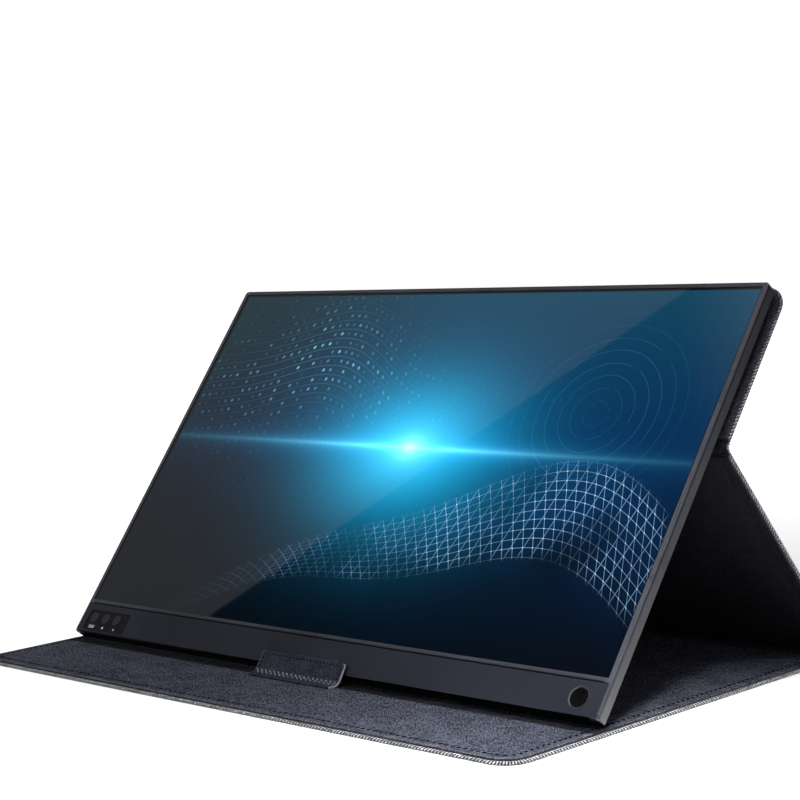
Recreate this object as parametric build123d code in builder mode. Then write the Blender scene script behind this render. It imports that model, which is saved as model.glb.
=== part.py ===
from build123d import *
import os
from math import asin, cos, degrees, radians, sin

# Portable monitor standing in its folding fabric case, in millimetres, +Z up.
# The case's front cover lies flat on the table. The prop rises from the spine at the rear
# and carries the back panel, to which the display slab is stuck. The slab's lower edge
# stands on the cover's lining, behind a small leather tab.
# The origin is on the table, under the middle of the whole object's box.

# Lit screen, 15.6 inch at 16:9
SCREEN_W = 344.2
SCREEN_H = 193.6

# Display slab
BEZEL_SIDE = 3.9
BEZEL_TOP = 3.7
SILL_H = 2.4
WALL_DEPTH = 5.8
SLAB_T = 9.0
CORNER_R = 2.0
TILT = 52.4
SHELL_WALL = 1.2
SHELL_BACK = 0.9
TAPER_INSET = 8.0
TAPER_R = 9.0

# Front frame and chin cover
FRAME_T = 1.2
FRAME_CHAMFER = 0.35
SEAM_GAP = 0.2
TONGUE_T = 0.5
TONGUE_H = 1.8
CHIN_LIP = 1.2
CHIN_LEDGE = 1.2
CHIN_HEAD = 3.9
CHIN_FACE_T = 0.7
CHIN_PLUG_T = 1.1
CHIN_GROOVE = 0.35
FIT_GAP = 0.1

# Display stack, from the glass to the chassis plate
GLASS_RECESS = 0.4
GLASS_LIP = 0.4
GLASS_T = 0.7
SENSOR_T = 0.3
CELL_T = 1.2
GUIDE_T = 1.0
LED_H = 2.0
SENSOR_IN = 0.5
TRAY_T = 0.4
TRAY_WALL = 0.5
SCREEN_GAP = 0.2
HEAD_GAP = 0.5
CHASSIS_T = 0.6

# Menu buttons, in a dark plate at the chin's left end
MENU_R = 3.0
MENU_COUNT = 3
MENU_SPACE = 3.2
MENU_RISE = 0.3
MENU_EDGE = 0.2
MENU_FLANGE = 0.4
MENU_FLANGE_T = 0.35
MENU_TRAVEL = 0.4
PLATE_IN = 5.5
PLATE_RISE = 1.0
PLATE_LEFT = 1.1
PLATE_RIGHT = 5.7
PLATE_LOW = 3.3
PLATE_HIGH = 0.1
PLATE_RECESS = 0.3
PLATE_R = 1.2
PLATE_LEDGE = 0.5
BUTTON_GAP = 0.12

# Power button, in a bright ring at the chin's right end
POWER_IN = 13.8
POWER_RING_R = 5.2
POWER_RING_WALL = 0.6
POWER_RING_T = 1.6
POWER_RECESS = 0.35
POWER_DISH = 0.6
POWER_LAND = 0.4
POWER_TRAVEL = 0.5
POWER_FLANGE_T = 0.4

# Switches and boards
BOARD_THICK = 0.8
SWITCH_W = 3.6
SWITCH_H = 1.2
MAIN_BOARD_W = 72.0
MAIN_BOARD_H = 92.0
MAIN_BOARD_IN = 4.0
MAIN_BOARD_V = 86.0
SHIELD_T = 1.6
BATTERY_W = 96.0
BATTERY_H = 118.0
BATTERY_T = 2.6
BATTERY_GAP = 3.0
SPEAKER_W = 34.0
SPEAKER_H = 13.0
SPEAKER_T = 2.6
SPEAKER_IN = 61.0
SPEAKER_V = 26.0
SLOT_W = 1.2
SLOT_LENGTH = 8.0
SLOT_PITCH = 3.2
SLOT_COUNT = 9
SLOT_CHAMFER = 0.35

# Sockets in the slab's left side, where the rear shell has a full-depth land
SOCKET_IN = 1.0
SOCKET_T = 3.1
SOCKET_DEPTH = 7.4
SOCKET_SHELL = 0.3
SOCKET_TONGUE = 0.7
USB_W = 9.0
USB_RISE = 12.0
USB_PITCH = 15.0
USB_COUNT = 2
HDMI_W = 11.2
HDMI_RISE = 44.0
HDMI_CHAMFER = 0.9
JACK_W = 6.2
JACK_T = 3.8
JACK_DEPTH = 12.0
JACK_R = 1.75
JACK_COLLAR = 0.55
JACK_COLLAR_IN = 0.3
JACK_RISE = 61.0
SOCKET_GAP = 0.15
MOUTH_GAP = 0.2
LAND_MARGIN = 5.0
LAND_W = 14.0
LAND_DRAFT = 0.4

# Screws
BOSS_R = 2.2
SCREW_R = 1.0
SCREW_HEAD_R = 1.9
SCREW_HEAD_T = 0.4
SCREW_LENGTH = 2.4
BOSS_SIDES = 8
BOSS_GAP = 5.0
BOSS_IN = 12.0
BOSS_LOW = 25.0
BOSS_TOP = 11.0
BOARD_BOSS_IN = 4.0
BOARD_ROOM = 2.0

# Folding case: outer fabric, stiff board, leather lining
FABRIC_T = 0.6
BOARD_T = 1.6
LINING_T = 0.8
RIM_W = 1.0
RIM_GAP = 0.05
LINING_INSET = 0.5
CASE_MARGIN = 2.5
CASE_TOP = 4.8
CASE_R = 12.0
FOLD_V = 137.6
PIVOT_IN = 0.3
PAD_T = 0.3
CLOSE_GAP = 0.3
REST_GAP = 0.3
END_GAP = 0.4
CREASE_T = 1.4
CREASE_HALF = 2.5
FOOT_SETBACK = 5.0
FOOT_GAP = 0.5
CREASE_GAP = 0.2
PAD_IN = 26.0
PAD_H = 12.0
PAD_COUNT = 3
PAD_PITCH = 26.0
MAGNET_W = 20.0
MAGNET_H = 6.0
MAGNET_T = 1.2
MAGNET_X = (-120.0, -40.0, 40.0, 120.0)
MAGNET_IN = 11.0

# Stop tab on the cover
TAB_W = 57.0
TAB_T = 1.2
TAB_SEWN = 5.4
TAB_FLAP = 11.0
TAB_LEAN = 57.5
TAB_CLEAR = 0.8
TAB_LIFT = 0.15
TAB_R = 2.8

# Derived sizes of the slab: the chin is as high as its button plate needs
plate_reach = MENU_R + MENU_FLANGE + PLATE_LEDGE
menu_pitch = 2 * MENU_R + MENU_SPACE
plate_w = (MENU_COUNT - 1) * menu_pitch + 2 * plate_reach + PLATE_LEFT + PLATE_RIGHT
plate_h = 2 * plate_reach + PLATE_LOW + PLATE_HIGH
plate_t = CHIN_FACE_T - PLATE_RECESS
menu_v = CHIN_LIP + PLATE_RISE + PLATE_LOW + plate_reach
plate_v = CHIN_LIP + PLATE_RISE + plate_h / 2
chin_h = CHIN_LIP + PLATE_RISE + plate_h + CHIN_HEAD
slab_w = SCREEN_W + 2 * BEZEL_SIDE
slab_h = chin_h + SILL_H + SCREEN_H + BEZEL_TOP
menu_x = -slab_w / 2 + PLATE_IN + PLATE_LEFT + plate_reach
plate_x = -slab_w / 2 + PLATE_IN + plate_w / 2
power_x = slab_w / 2 - POWER_IN
power_v = (CHIN_LIP + chin_h) / 2
screen_v = chin_h + SILL_H + SCREEN_H / 2
tongue_in = SHELL_WALL + FIT_GAP
glass_border = min(BEZEL_SIDE, BEZEL_TOP) - tongue_in - TONGUE_T - FIT_GAP
glass_shown = glass_border - GLASS_LIP
glass_w = SCREEN_W + 2 * glass_border
glass_h = SCREEN_H + 2 * glass_border
sensor_n = GLASS_RECESS + GLASS_T
cell_n = sensor_n + SENSOR_T
guide_n = cell_n + CELL_T
tray_n = guide_n + GUIDE_T
chassis_n = tray_n + TRAY_T + HEAD_GAP
cavity_n = chassis_n + CHASSIS_T
back_n = SLAB_T - SHELL_BACK
seam_n = FRAME_T + SEAM_GAP
plate_hole_r = MENU_R + BUTTON_GAP
power_hole_r = POWER_RING_R + FIT_GAP
power_cap_r = POWER_RING_R - POWER_RING_WALL - BUTTON_GAP
board_x = -slab_w / 2 + MAIN_BOARD_IN + MAIN_BOARD_W / 2
board_low = MAIN_BOARD_V - MAIN_BOARD_H / 2
board_right = board_x + MAIN_BOARD_W / 2
boss_left = board_right + BOSS_GAP + BOSS_R
boss_right = slab_w / 2 - BOSS_IN
battery_x = (BATTERY_W + BATTERY_GAP) / 2
battery_v = SPEAKER_V + SPEAKER_H / 2 + BATTERY_GAP + BATTERY_H / 2
speaker_x = slab_w / 2 - SPEAKER_IN

# Derived places of the slab, the folds and the panels at rest
tilt_cos = cos(radians(TILT))
tilt_sin = sin(radians(TILT))
panel_t = FABRIC_T + BOARD_T + LINING_T
case_w = slab_w + 2 * CASE_MARGIN
fold_n = SLAB_T + PAD_T + panel_t - PIVOT_IN
heel = panel_t + END_GAP
prop_len = FOLD_V + heel
spine_len = SLAB_T + PAD_T + 2 * panel_t + CLOSE_GAP - 2 * PIVOT_IN
cover_len = heel + slab_h + CASE_TOP
slab_z = panel_t + REST_GAP + WALL_DEPTH * tilt_cos
fold_z = slab_z + FOLD_V * tilt_sin - fold_n * tilt_cos
prop_tilt = degrees(asin((fold_z - PIVOT_IN) / prop_len))
prop_cos = cos(radians(prop_tilt))
prop_sin = sin(radians(prop_tilt))
rear_y = (spine_len + cover_len - PIVOT_IN) / 2
fold_y = rear_y - prop_len * prop_cos
slab_y = fold_y - FOLD_V * tilt_cos - fold_n * tilt_sin
cover_y = rear_y - spine_len
spine_setback = FOOT_SETBACK * prop_cos + (panel_t - PIVOT_IN) * prop_sin + FOOT_GAP

slab = Plane(origin=(0, slab_y, slab_z), x_dir=(1, 0, 0), z_dir=(0, -tilt_sin, tilt_cos))
front = Axis((0, slab_y, slab_z), (0, -tilt_sin, tilt_cos))
cover_plane = Plane(origin=(0, cover_y, 0), x_dir=(-1, 0, 0), z_dir=(0, 0, 1))
spine_plane = Plane(origin=(0, rear_y, 0), x_dir=(-1, 0, 0), z_dir=(0, 0, 1))
prop_plane = Plane(
    origin=(0, rear_y, PIVOT_IN), x_dir=(1, 0, 0), z_dir=(0, -prop_sin, -prop_cos)
).offset(-PIVOT_IN)
back_plane = Plane(origin=(0, fold_y, fold_z), x_dir=(1, 0, 0), z_dir=slab.z_dir).offset(-PIVOT_IN)

os.makedirs("parts", exist_ok=True)


def save(piece, name):
    """Labels a finished piece and writes it as parts/NAME.step."""
    piece.label = name
    export_step(piece, f"parts/{name}.step")


def behind(depth):
    """The plane that lies this far behind the slab's front face."""
    return slab.offset(-depth)


def outline(inset, corner=None):
    """The slab's outline, drawn in the sketch that is open, smaller by inset on every side."""
    radius = CORNER_R - inset if corner is None else corner
    with Locations((0, slab_h / 2)):
        RectangleRounded(slab_w - 2 * inset, slab_h - 2 * inset, max(radius, 0.5))


def flat_piece(width, height, x, v, depth, thick, corner=0):
    """A flat piece inside the slab, its front face at this depth."""
    with BuildPart() as piece:
        with BuildSketch(behind(depth + thick)):
            with Locations((x, v)):
                if corner:
                    RectangleRounded(width, height, corner)
                else:
                    Rectangle(width, height)
        extrude(amount=thick)
    return piece.part


# Front frame: a ring round the screen with the chin's lip below, and a tongue behind it.
# The glass shows its black border inside the ring at the sides and the top.
with BuildPart() as front_frame:
    with BuildSketch(behind(FRAME_T)):
        outline(0)
    extrude(amount=FRAME_T)
    chamfer(front_frame.faces().sort_by(front)[-1].edges(), FRAME_CHAMFER)
    with BuildSketch(slab):
        with Locations((0, chin_h + SILL_H - SCREEN_GAP)):
            Rectangle(
                SCREEN_W + 2 * glass_shown,
                SCREEN_H + SCREEN_GAP + glass_shown,
                align=(Align.CENTER, Align.MIN),
            )
    extrude(amount=-FRAME_T, mode=Mode.SUBTRACT)
    with BuildSketch(behind(GLASS_RECESS)):
        with Locations((0, screen_v)):
            Rectangle(glass_w + 2 * FIT_GAP, glass_h + 2 * FIT_GAP)
    extrude(amount=GLASS_RECESS - FRAME_T, mode=Mode.SUBTRACT)
    with BuildSketch(slab):
        with Locations((0, (CHIN_LIP + chin_h) / 2)):
            RectangleRounded(slab_w - 2 * CHIN_LIP, chin_h - CHIN_LIP, CORNER_R - CHIN_LIP)
    extrude(amount=-CHIN_FACE_T, mode=Mode.SUBTRACT)
    with BuildSketch(slab):
        with Locations((0, (CHIN_LIP + chin_h) / 2)):
            Rectangle(
                slab_w - 2 * CHIN_LIP - 2 * CHIN_LEDGE, chin_h - CHIN_LIP - 2 * CHIN_LEDGE
            )
    extrude(amount=-FRAME_T, mode=Mode.SUBTRACT)
    with BuildSketch(behind(FRAME_T)):
        outline(tongue_in)
        with Locations((0, slab_h / 2)):
            Rectangle(
                slab_w - 2 * (tongue_in + TONGUE_T),
                slab_h - 2 * (tongue_in + TONGUE_T),
                mode=Mode.SUBTRACT,
            )
    extrude(amount=-TONGUE_H)
save(front_frame.part, "front_frame")

# Chin cover: a face plate with a plug behind it, a pocket for the buttons and a round hole
chin_face_w = slab_w - 2 * CHIN_LIP - 2 * FIT_GAP
chin_face_h = chin_h - CHIN_LIP - FIT_GAP - CHIN_GROOVE
chin_face_v = CHIN_LIP + FIT_GAP + chin_face_h / 2
chin_plug_w = slab_w - 2 * (CHIN_LIP + CHIN_LEDGE + FIT_GAP)
chin_plug_h = chin_h - CHIN_LIP - 2 * (CHIN_LEDGE + FIT_GAP)
with BuildPart() as chin_cover:
    with BuildSketch(behind(CHIN_FACE_T)):
        with Locations((0, chin_face_v)):
            RectangleRounded(chin_face_w, chin_face_h, CORNER_R - CHIN_LIP - FIT_GAP)
    extrude(amount=CHIN_FACE_T)
    with BuildSketch(behind(CHIN_FACE_T)):
        with Locations((0, (CHIN_LIP + chin_h) / 2)):
            Rectangle(chin_plug_w, chin_plug_h)
    extrude(amount=-CHIN_PLUG_T)
    with BuildSketch(slab):
        with Locations((plate_x, plate_v)):
            RectangleRounded(plate_w + 2 * FIT_GAP, plate_h + 2 * FIT_GAP, PLATE_R)
    extrude(amount=-(PLATE_RECESS + plate_t), mode=Mode.SUBTRACT)
    with BuildSketch(slab):
        with Locations((plate_x, plate_v)):
            Rectangle(plate_w - 2 * PLATE_LEDGE, plate_h - 2 * PLATE_LEDGE)
    extrude(amount=-(CHIN_FACE_T + CHIN_PLUG_T), mode=Mode.SUBTRACT)
    with BuildSketch(slab):
        with Locations((power_x, power_v)):
            Circle(power_hole_r)
    extrude(amount=-(CHIN_FACE_T + CHIN_PLUG_T), mode=Mode.SUBTRACT)
save(chin_cover.part, "chin_cover")

# Button plate: the dark inset plate with a round hole for each menu button
with BuildPart() as button_plate:
    with BuildSketch(behind(PLATE_RECESS + plate_t)):
        with Locations((plate_x, plate_v)):
            RectangleRounded(plate_w, plate_h, PLATE_R)
        for index in range(MENU_COUNT):
            with Locations((menu_x + index * menu_pitch, menu_v)):
                Circle(plate_hole_r, mode=Mode.SUBTRACT)
    extrude(amount=plate_t)
save(button_plate.part, "button_plate")

# Menu buttons: round caps with a flange that stops them behind the plate
menu_front = PLATE_RECESS - MENU_RISE
menu_flange_n = CHIN_FACE_T + BUTTON_GAP
for index, name in enumerate(("menu_button_left", "menu_button_middle", "menu_button_right")):
    cap_x = menu_x + index * menu_pitch
    with BuildPart() as menu_button:
        with BuildSketch(behind(menu_flange_n)):
            with Locations((cap_x, menu_v)):
                Circle(MENU_R)
        extrude(amount=menu_flange_n - menu_front)
        chamfer(menu_button.faces().sort_by(front)[-1].edges(), MENU_EDGE)
        with BuildSketch(behind(menu_flange_n + MENU_FLANGE_T)):
            with Locations((cap_x, menu_v)):
                Rectangle(2 * (MENU_R + MENU_FLANGE), 2 * (MENU_R + MENU_FLANGE))
        extrude(amount=MENU_FLANGE_T)
    save(menu_button.part, name)

# Menu switches on their board, each a little behind its button
menu_switch_n = menu_flange_n + MENU_FLANGE_T + MENU_TRAVEL + BUTTON_GAP
with BuildPart() as menu_switches:
    with BuildSketch(behind(menu_switch_n + SWITCH_H)):
        for index in range(MENU_COUNT):
            with Locations((menu_x + index * menu_pitch, menu_v)):
                Rectangle(SWITCH_W, SWITCH_W)
    extrude(amount=SWITCH_H)
save(menu_switches.part, "menu_switches")
strip_w = plate_w - 2 * PLATE_LEDGE
strip_h = plate_h - 2 * PLATE_LEDGE
save(
    flat_piece(strip_w, strip_h, plate_x, plate_v, menu_switch_n + SWITCH_H, BOARD_THICK),
    "button_board",
)

# Power ring: the bright collar in the chin's round hole
power_axis = behind(POWER_RING_T)
with BuildPart() as power_ring:
    with BuildSketch(power_axis):
        with Locations((power_x, power_v)):
            Circle(POWER_RING_R)
            Circle(POWER_RING_R - POWER_RING_WALL, mode=Mode.SUBTRACT)
    extrude(amount=POWER_RING_T)
    ring_mouth = power_ring.faces().sort_by(front)[-1].inner_wires()[0].edges()
    chamfer(ring_mouth, POWER_RING_WALL * 0.6)
save(power_ring.part, "power_ring")

# Power button: a cap with a hollow face and a flange that stops it behind the ring
power_flange_n = POWER_RING_T + BUTTON_GAP
dish_edge = power_cap_r - POWER_LAND
dish_r = (dish_edge ** 2 + POWER_DISH ** 2) / (2 * POWER_DISH)
dish_centre = slab.from_local_coords(Vector(power_x, power_v, dish_r - POWER_DISH - POWER_RECESS))
with BuildPart() as power_button:
    with BuildSketch(behind(power_flange_n)):
        with Locations((power_x, power_v)):
            Circle(power_cap_r)
    extrude(amount=power_flange_n - POWER_RECESS)
    with Locations(dish_centre):
        Sphere(dish_r, mode=Mode.SUBTRACT)
    with BuildSketch(behind(power_flange_n + POWER_FLANGE_T)):
        with Locations((power_x, power_v)):
            Circle(POWER_RING_R)
    extrude(amount=POWER_FLANGE_T)
save(power_button.part, "power_button")
power_switch_n = power_flange_n + POWER_FLANGE_T + POWER_TRAVEL + BUTTON_GAP
save(
    flat_piece(SWITCH_W, SWITCH_W, power_x, power_v, power_switch_n, SWITCH_H), "power_switch"
)
power_board_w = 2 * POWER_RING_R
save(
    flat_piece(
        power_board_w, power_board_w, power_x, power_v, power_switch_n + SWITCH_H, BOARD_THICK
    ),
    "power_board",
)

# Display stack: cover glass, touch sensor, liquid crystal cell and light guide
save(flat_piece(glass_w, glass_h, 0, screen_v, GLASS_RECESS, GLASS_T), "cover_glass")
sensor_w = glass_w - 2 * SENSOR_IN
sensor_h = glass_h - 2 * SENSOR_IN
save(flat_piece(sensor_w, sensor_h, 0, screen_v, sensor_n, SENSOR_T), "touch_sensor")
tray_w = glass_w - 2 * TRAY_WALL
tray_h = glass_h - 2 * TRAY_WALL
cell_w = tray_w - 2 * FIT_GAP
cell_h = tray_h - 2 * FIT_GAP
save(flat_piece(cell_w, cell_h, 0, screen_v, cell_n, CELL_T), "lcd_cell")
guide_v = screen_v + LED_H / 2
led_v = screen_v - cell_h / 2 + LED_H / 2
save(flat_piece(cell_w, cell_h - LED_H, 0, guide_v, guide_n, GUIDE_T), "light_guide")
save(flat_piece(cell_w, LED_H - FIT_GAP, 0, led_v, guide_n, GUIDE_T), "led_bar")

# Backlight tray: a thin pan that holds the light guide and the cell
with BuildPart() as backlight_tray:
    with BuildSketch(behind(tray_n + TRAY_T)):
        with Locations((0, screen_v)):
            Rectangle(glass_w, glass_h)
    extrude(amount=tray_n + TRAY_T - cell_n)
    with BuildSketch(behind(tray_n)):
        with Locations((0, screen_v)):
            Rectangle(tray_w, tray_h)
    extrude(amount=tray_n - cell_n, mode=Mode.SUBTRACT)
save(backlight_tray.part, "backlight_tray")

# Chassis plate: the sheet behind the display, notched round the main board
boss_places = [
    (boss_x, boss_v) for boss_x in (boss_left, boss_right) for boss_v in (BOSS_LOW, slab_h - BOSS_TOP)
]
chassis_w = slab_w - 2 * (tongue_in + TONGUE_T + FIT_GAP)
chassis_h = slab_h - chin_h - tongue_in - TONGUE_T - FIT_GAP
notch_w = MAIN_BOARD_IN + MAIN_BOARD_W + BOARD_ROOM
with BuildPart() as chassis_plate:
    with BuildSketch(behind(cavity_n)):
        with Locations((0, chin_h + chassis_h / 2)):
            Rectangle(chassis_w, chassis_h)
        with Locations((-slab_w / 2 + notch_w / 2, MAIN_BOARD_V)):
            Rectangle(notch_w, MAIN_BOARD_H + 2 * BOARD_ROOM, mode=Mode.SUBTRACT)
        with Locations(boss_places):
            Circle(SCREW_R + FIT_GAP, mode=Mode.SUBTRACT)
    extrude(amount=CHASSIS_T)
save(chassis_plate.part, "chassis_plate")

# Rear shell: side walls, a back that tapers in all round, a full-depth land for the sockets,
# screw bosses inside, sound slots in the back and socket mouths in the land
taper_cavity = TAPER_INSET + SHELL_WALL
usb_rises = [USB_RISE + index * USB_PITCH for index in range(USB_COUNT)]
land_low = board_low + USB_RISE - USB_W / 2 - LAND_MARGIN
land_high = board_low + JACK_RISE + JACK_W / 2 + LAND_MARGIN
land_v = (land_low + land_high) / 2
land_h = land_high - land_low
board_bosses = [
    (board_right - BOARD_BOSS_IN, MAIN_BOARD_V + end * (MAIN_BOARD_H / 2 - BOARD_BOSS_IN))
    for end in (-1, 1)
]
socket_n = back_n - SOCKET_GAP
usb_places = [(board_low + rise, socket_n - SOCKET_T / 2) for rise in usb_rises]
hdmi_place = (board_low + HDMI_RISE, socket_n - SOCKET_T / 2)
jack_place = (board_low + JACK_RISE, socket_n - JACK_T / 2)
side_plane = Plane(
    origin=slab.from_local_coords(Vector(-slab_w / 2, 0, 0)),
    x_dir=(0, tilt_cos, tilt_sin),
    z_dir=(-1, 0, 0),
)


def land(inset, draft):
    """The land's outline in the open sketch, smaller by inset, and by draft towards the back."""
    width = LAND_W - inset - draft
    with Locations((-slab_w / 2 + inset + draft + width / 2, land_v)):
        Rectangle(width, land_h - 2 * (inset + draft))


def hdmi_shape(grow):
    """The flat six-sided outline of the display socket in the open sketch, larger by grow."""
    with Locations(hdmi_place):
        sheet = Rectangle(HDMI_W + 2 * grow, SOCKET_T + 2 * grow)
    chamfer(sheet.vertices().sort_by(Axis.Y)[-2:], HDMI_CHAMFER)


with BuildPart() as rear_shell:
    with BuildSketch(behind(WALL_DEPTH)):
        outline(0)
    extrude(amount=WALL_DEPTH - seam_n)
    with BuildSketch(behind(WALL_DEPTH)):
        outline(0)
    with BuildSketch(behind(SLAB_T)):
        outline(TAPER_INSET, TAPER_R)
    loft(ruled=True)
    with BuildSketch(behind(WALL_DEPTH)):
        land(0, 0)
    with BuildSketch(behind(SLAB_T)):
        land(0, LAND_DRAFT)
    loft(ruled=True)
    with BuildSketch(behind(WALL_DEPTH)):
        outline(SHELL_WALL)
    extrude(amount=WALL_DEPTH - seam_n, mode=Mode.SUBTRACT)
    with BuildSketch(behind(WALL_DEPTH)):
        outline(SHELL_WALL)
    with BuildSketch(behind(back_n)):
        outline(taper_cavity, TAPER_R)
    loft(ruled=True, mode=Mode.SUBTRACT)
    with BuildSketch(behind(WALL_DEPTH)):
        land(SHELL_WALL, 0)
    with BuildSketch(behind(back_n)):
        land(SHELL_WALL, LAND_DRAFT)
    loft(ruled=True, mode=Mode.SUBTRACT)
    with BuildSketch(behind(back_n)):
        with Locations(boss_places):
            RegularPolygon(BOSS_R, BOSS_SIDES, major_radius=False)
    extrude(amount=back_n - cavity_n)
    with BuildSketch(behind(back_n)):
        with Locations(board_bosses):
            RegularPolygon(BOSS_R, BOSS_SIDES, major_radius=False)
    extrude(amount=back_n - chassis_n - BOARD_THICK)
    with BuildSketch(behind(chassis_n)):
        with Locations(boss_places + board_bosses):
            Circle(SCREW_R)
    extrude(amount=-SCREW_LENGTH, mode=Mode.SUBTRACT)
    with BuildSketch(behind(SLAB_T)):
        for side in (-1, 1):
            with Locations((side * speaker_x, SPEAKER_V)):
                with GridLocations(SLOT_PITCH, 1, SLOT_COUNT, 1):
                    slots = Rectangle(SLOT_W, SLOT_LENGTH)
            chamfer(slots.vertices(), SLOT_CHAMFER)
    extrude(amount=SHELL_BACK, mode=Mode.SUBTRACT)
    with BuildSketch(side_plane):
        with Locations(usb_places):
            SlotOverall(USB_W + 2 * MOUTH_GAP, SOCKET_T + 2 * MOUTH_GAP)
        with Locations(jack_place):
            Circle(JACK_R + JACK_COLLAR + MOUTH_GAP)
    extrude(amount=-(SHELL_WALL + LAND_DRAFT), mode=Mode.SUBTRACT)
    with BuildSketch(side_plane):
        hdmi_shape(MOUTH_GAP)
    extrude(amount=-(SHELL_WALL + LAND_DRAFT), mode=Mode.SUBTRACT)
save(rear_shell.part, "rear_shell")


def screw_group(places, name):
    """Flat-headed screws at these places, their heads' undersides on the chassis plate's front."""
    with BuildPart() as screws:
        with BuildSketch(behind(chassis_n)):
            with Locations(places):
                Circle(SCREW_HEAD_R)
        extrude(amount=SCREW_HEAD_T)
        with BuildSketch(behind(chassis_n)):
            with Locations(places):
                Circle(SCREW_R - FIT_GAP / 2)
        extrude(amount=-(SCREW_LENGTH - FIT_GAP))
    save(screws.part, name)


screw_group(boss_places, "chassis_screws")
screw_group(board_bosses, "board_screws")

# Main board, its shield cans, batteries and speakers in the space behind the display
with BuildPart() as main_board:
    with BuildSketch(behind(chassis_n + BOARD_THICK)):
        with Locations((board_x, MAIN_BOARD_V)):
            Rectangle(MAIN_BOARD_W, MAIN_BOARD_H)
        with Locations(board_bosses):
            Circle(SCREW_R + FIT_GAP, mode=Mode.SUBTRACT)
        for rise, width, depth in (
            (usb_rises[0], USB_W, SOCKET_DEPTH),
            (usb_rises[1], USB_W, SOCKET_DEPTH),
            (HDMI_RISE, HDMI_W, SOCKET_DEPTH),
            (JACK_RISE, JACK_W, JACK_DEPTH),
        ):
            with Locations((-slab_w / 2 + SOCKET_IN, board_low + rise)):
                Rectangle(
                    2 * (depth + SOCKET_GAP), width + 2 * SOCKET_GAP, mode=Mode.SUBTRACT
                )
    extrude(amount=BOARD_THICK)
save(main_board.part, "main_board")
with BuildPart() as shield_cans:
    with BuildSketch(behind(chassis_n + BOARD_THICK + SHIELD_T)):
        with Locations((board_x + MAIN_BOARD_W / 8, MAIN_BOARD_V - MAIN_BOARD_H / 5)):
            Rectangle(MAIN_BOARD_W / 2.8, MAIN_BOARD_H / 3.5)
        with Locations((board_x + MAIN_BOARD_W / 6, MAIN_BOARD_V + MAIN_BOARD_H / 4.5)):
            Rectangle(MAIN_BOARD_W / 2.4, MAIN_BOARD_H / 4.5)
    extrude(amount=SHIELD_T)
save(shield_cans.part, "shield_cans")
for name, side in (("battery_left", -1), ("battery_right", 1)):
    pack_x = (boss_left + boss_right) / 2 + side * battery_x
    save(flat_piece(BATTERY_W, BATTERY_H, pack_x, battery_v, cavity_n, BATTERY_T), name)
for name, side in (("speaker_left", -1), ("speaker_right", 1)):
    box_x = side * speaker_x
    box_n = back_n - SPEAKER_T
    save(flat_piece(SPEAKER_W, SPEAKER_H, box_x, SPEAKER_V, box_n, SPEAKER_T), name)

# Sockets: metal shells on the board's left edge, open at the slab's side
socket_mouth = side_plane.offset(-SOCKET_IN)
socket_tongue = side_plane.offset(-SOCKET_IN - SOCKET_TONGUE)
with BuildPart() as usb_sockets:
    with BuildSketch(socket_mouth):
        with Locations(usb_places):
            SlotOverall(USB_W, SOCKET_T)
    extrude(amount=-SOCKET_DEPTH)
    with BuildSketch(socket_mouth):
        with Locations(usb_places):
            SlotOverall(USB_W - 2 * SOCKET_SHELL, SOCKET_T - 2 * SOCKET_SHELL)
    extrude(amount=SOCKET_SHELL - SOCKET_DEPTH, mode=Mode.SUBTRACT)
    with BuildSketch(socket_tongue):
        with Locations(usb_places):
            Rectangle(USB_W - SOCKET_T, SOCKET_TONGUE)
    extrude(amount=SOCKET_TONGUE - SOCKET_DEPTH)
save(usb_sockets.part, "usb_sockets")
with BuildPart() as hdmi_socket:
    with BuildSketch(socket_mouth):
        hdmi_shape(0)
    extrude(amount=-SOCKET_DEPTH)
    with BuildSketch(socket_mouth):
        hdmi_shape(-SOCKET_SHELL)
    extrude(amount=SOCKET_SHELL - SOCKET_DEPTH, mode=Mode.SUBTRACT)
    with BuildSketch(socket_tongue):
        with Locations(hdmi_place):
            Rectangle(HDMI_W - SOCKET_T, SOCKET_TONGUE)
    extrude(amount=SOCKET_TONGUE - SOCKET_DEPTH)
save(hdmi_socket.part, "hdmi_socket")
with BuildPart() as audio_jack:
    with BuildSketch(side_plane.offset(-SHELL_WALL - LAND_DRAFT)):
        with Locations(jack_place):
            Rectangle(JACK_W, JACK_T)
    extrude(amount=SHELL_WALL + LAND_DRAFT - JACK_DEPTH)
    with BuildSketch(side_plane.offset(-JACK_COLLAR_IN)):
        with Locations(jack_place):
            Circle(JACK_R + JACK_COLLAR)
    extrude(amount=JACK_COLLAR_IN - SHELL_WALL - LAND_DRAFT)
    with BuildSketch(side_plane):
        with Locations(jack_place):
            Circle(JACK_R)
    extrude(amount=SOCKET_SHELL - JACK_DEPTH, mode=Mode.SUBTRACT)
save(audio_jack.part, "audio_jack")

# Adhesive pads between the rear shell and the case's back panel
with BuildPart() as adhesive_pads:
    with BuildSketch(behind(SLAB_T + PAD_T)):
        with Locations((0, FOLD_V + CREASE_HALF + PAD_H + (PAD_COUNT - 1) * PAD_PITCH / 2)):
            with GridLocations(1, PAD_PITCH, 1, PAD_COUNT):
                Rectangle(slab_w - 2 * PAD_IN, PAD_H)
    extrude(amount=PAD_T)
save(adhesive_pads.part, "adhesive_pads")


def panel_sketch(start, end, inset, far_corner):
    """A case panel's outline in the open sketch, with rounded corners at its far end."""
    length = end - start - 2 * inset
    with Locations((0, start + inset)):
        sheet = Rectangle(case_w - 2 * inset, length, align=(Align.CENTER, Align.MIN))
    if far_corner:
        corners = sheet.vertices().sort_by(Axis.Y)[-2:]
        fillet(corners, far_corner - inset)


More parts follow.
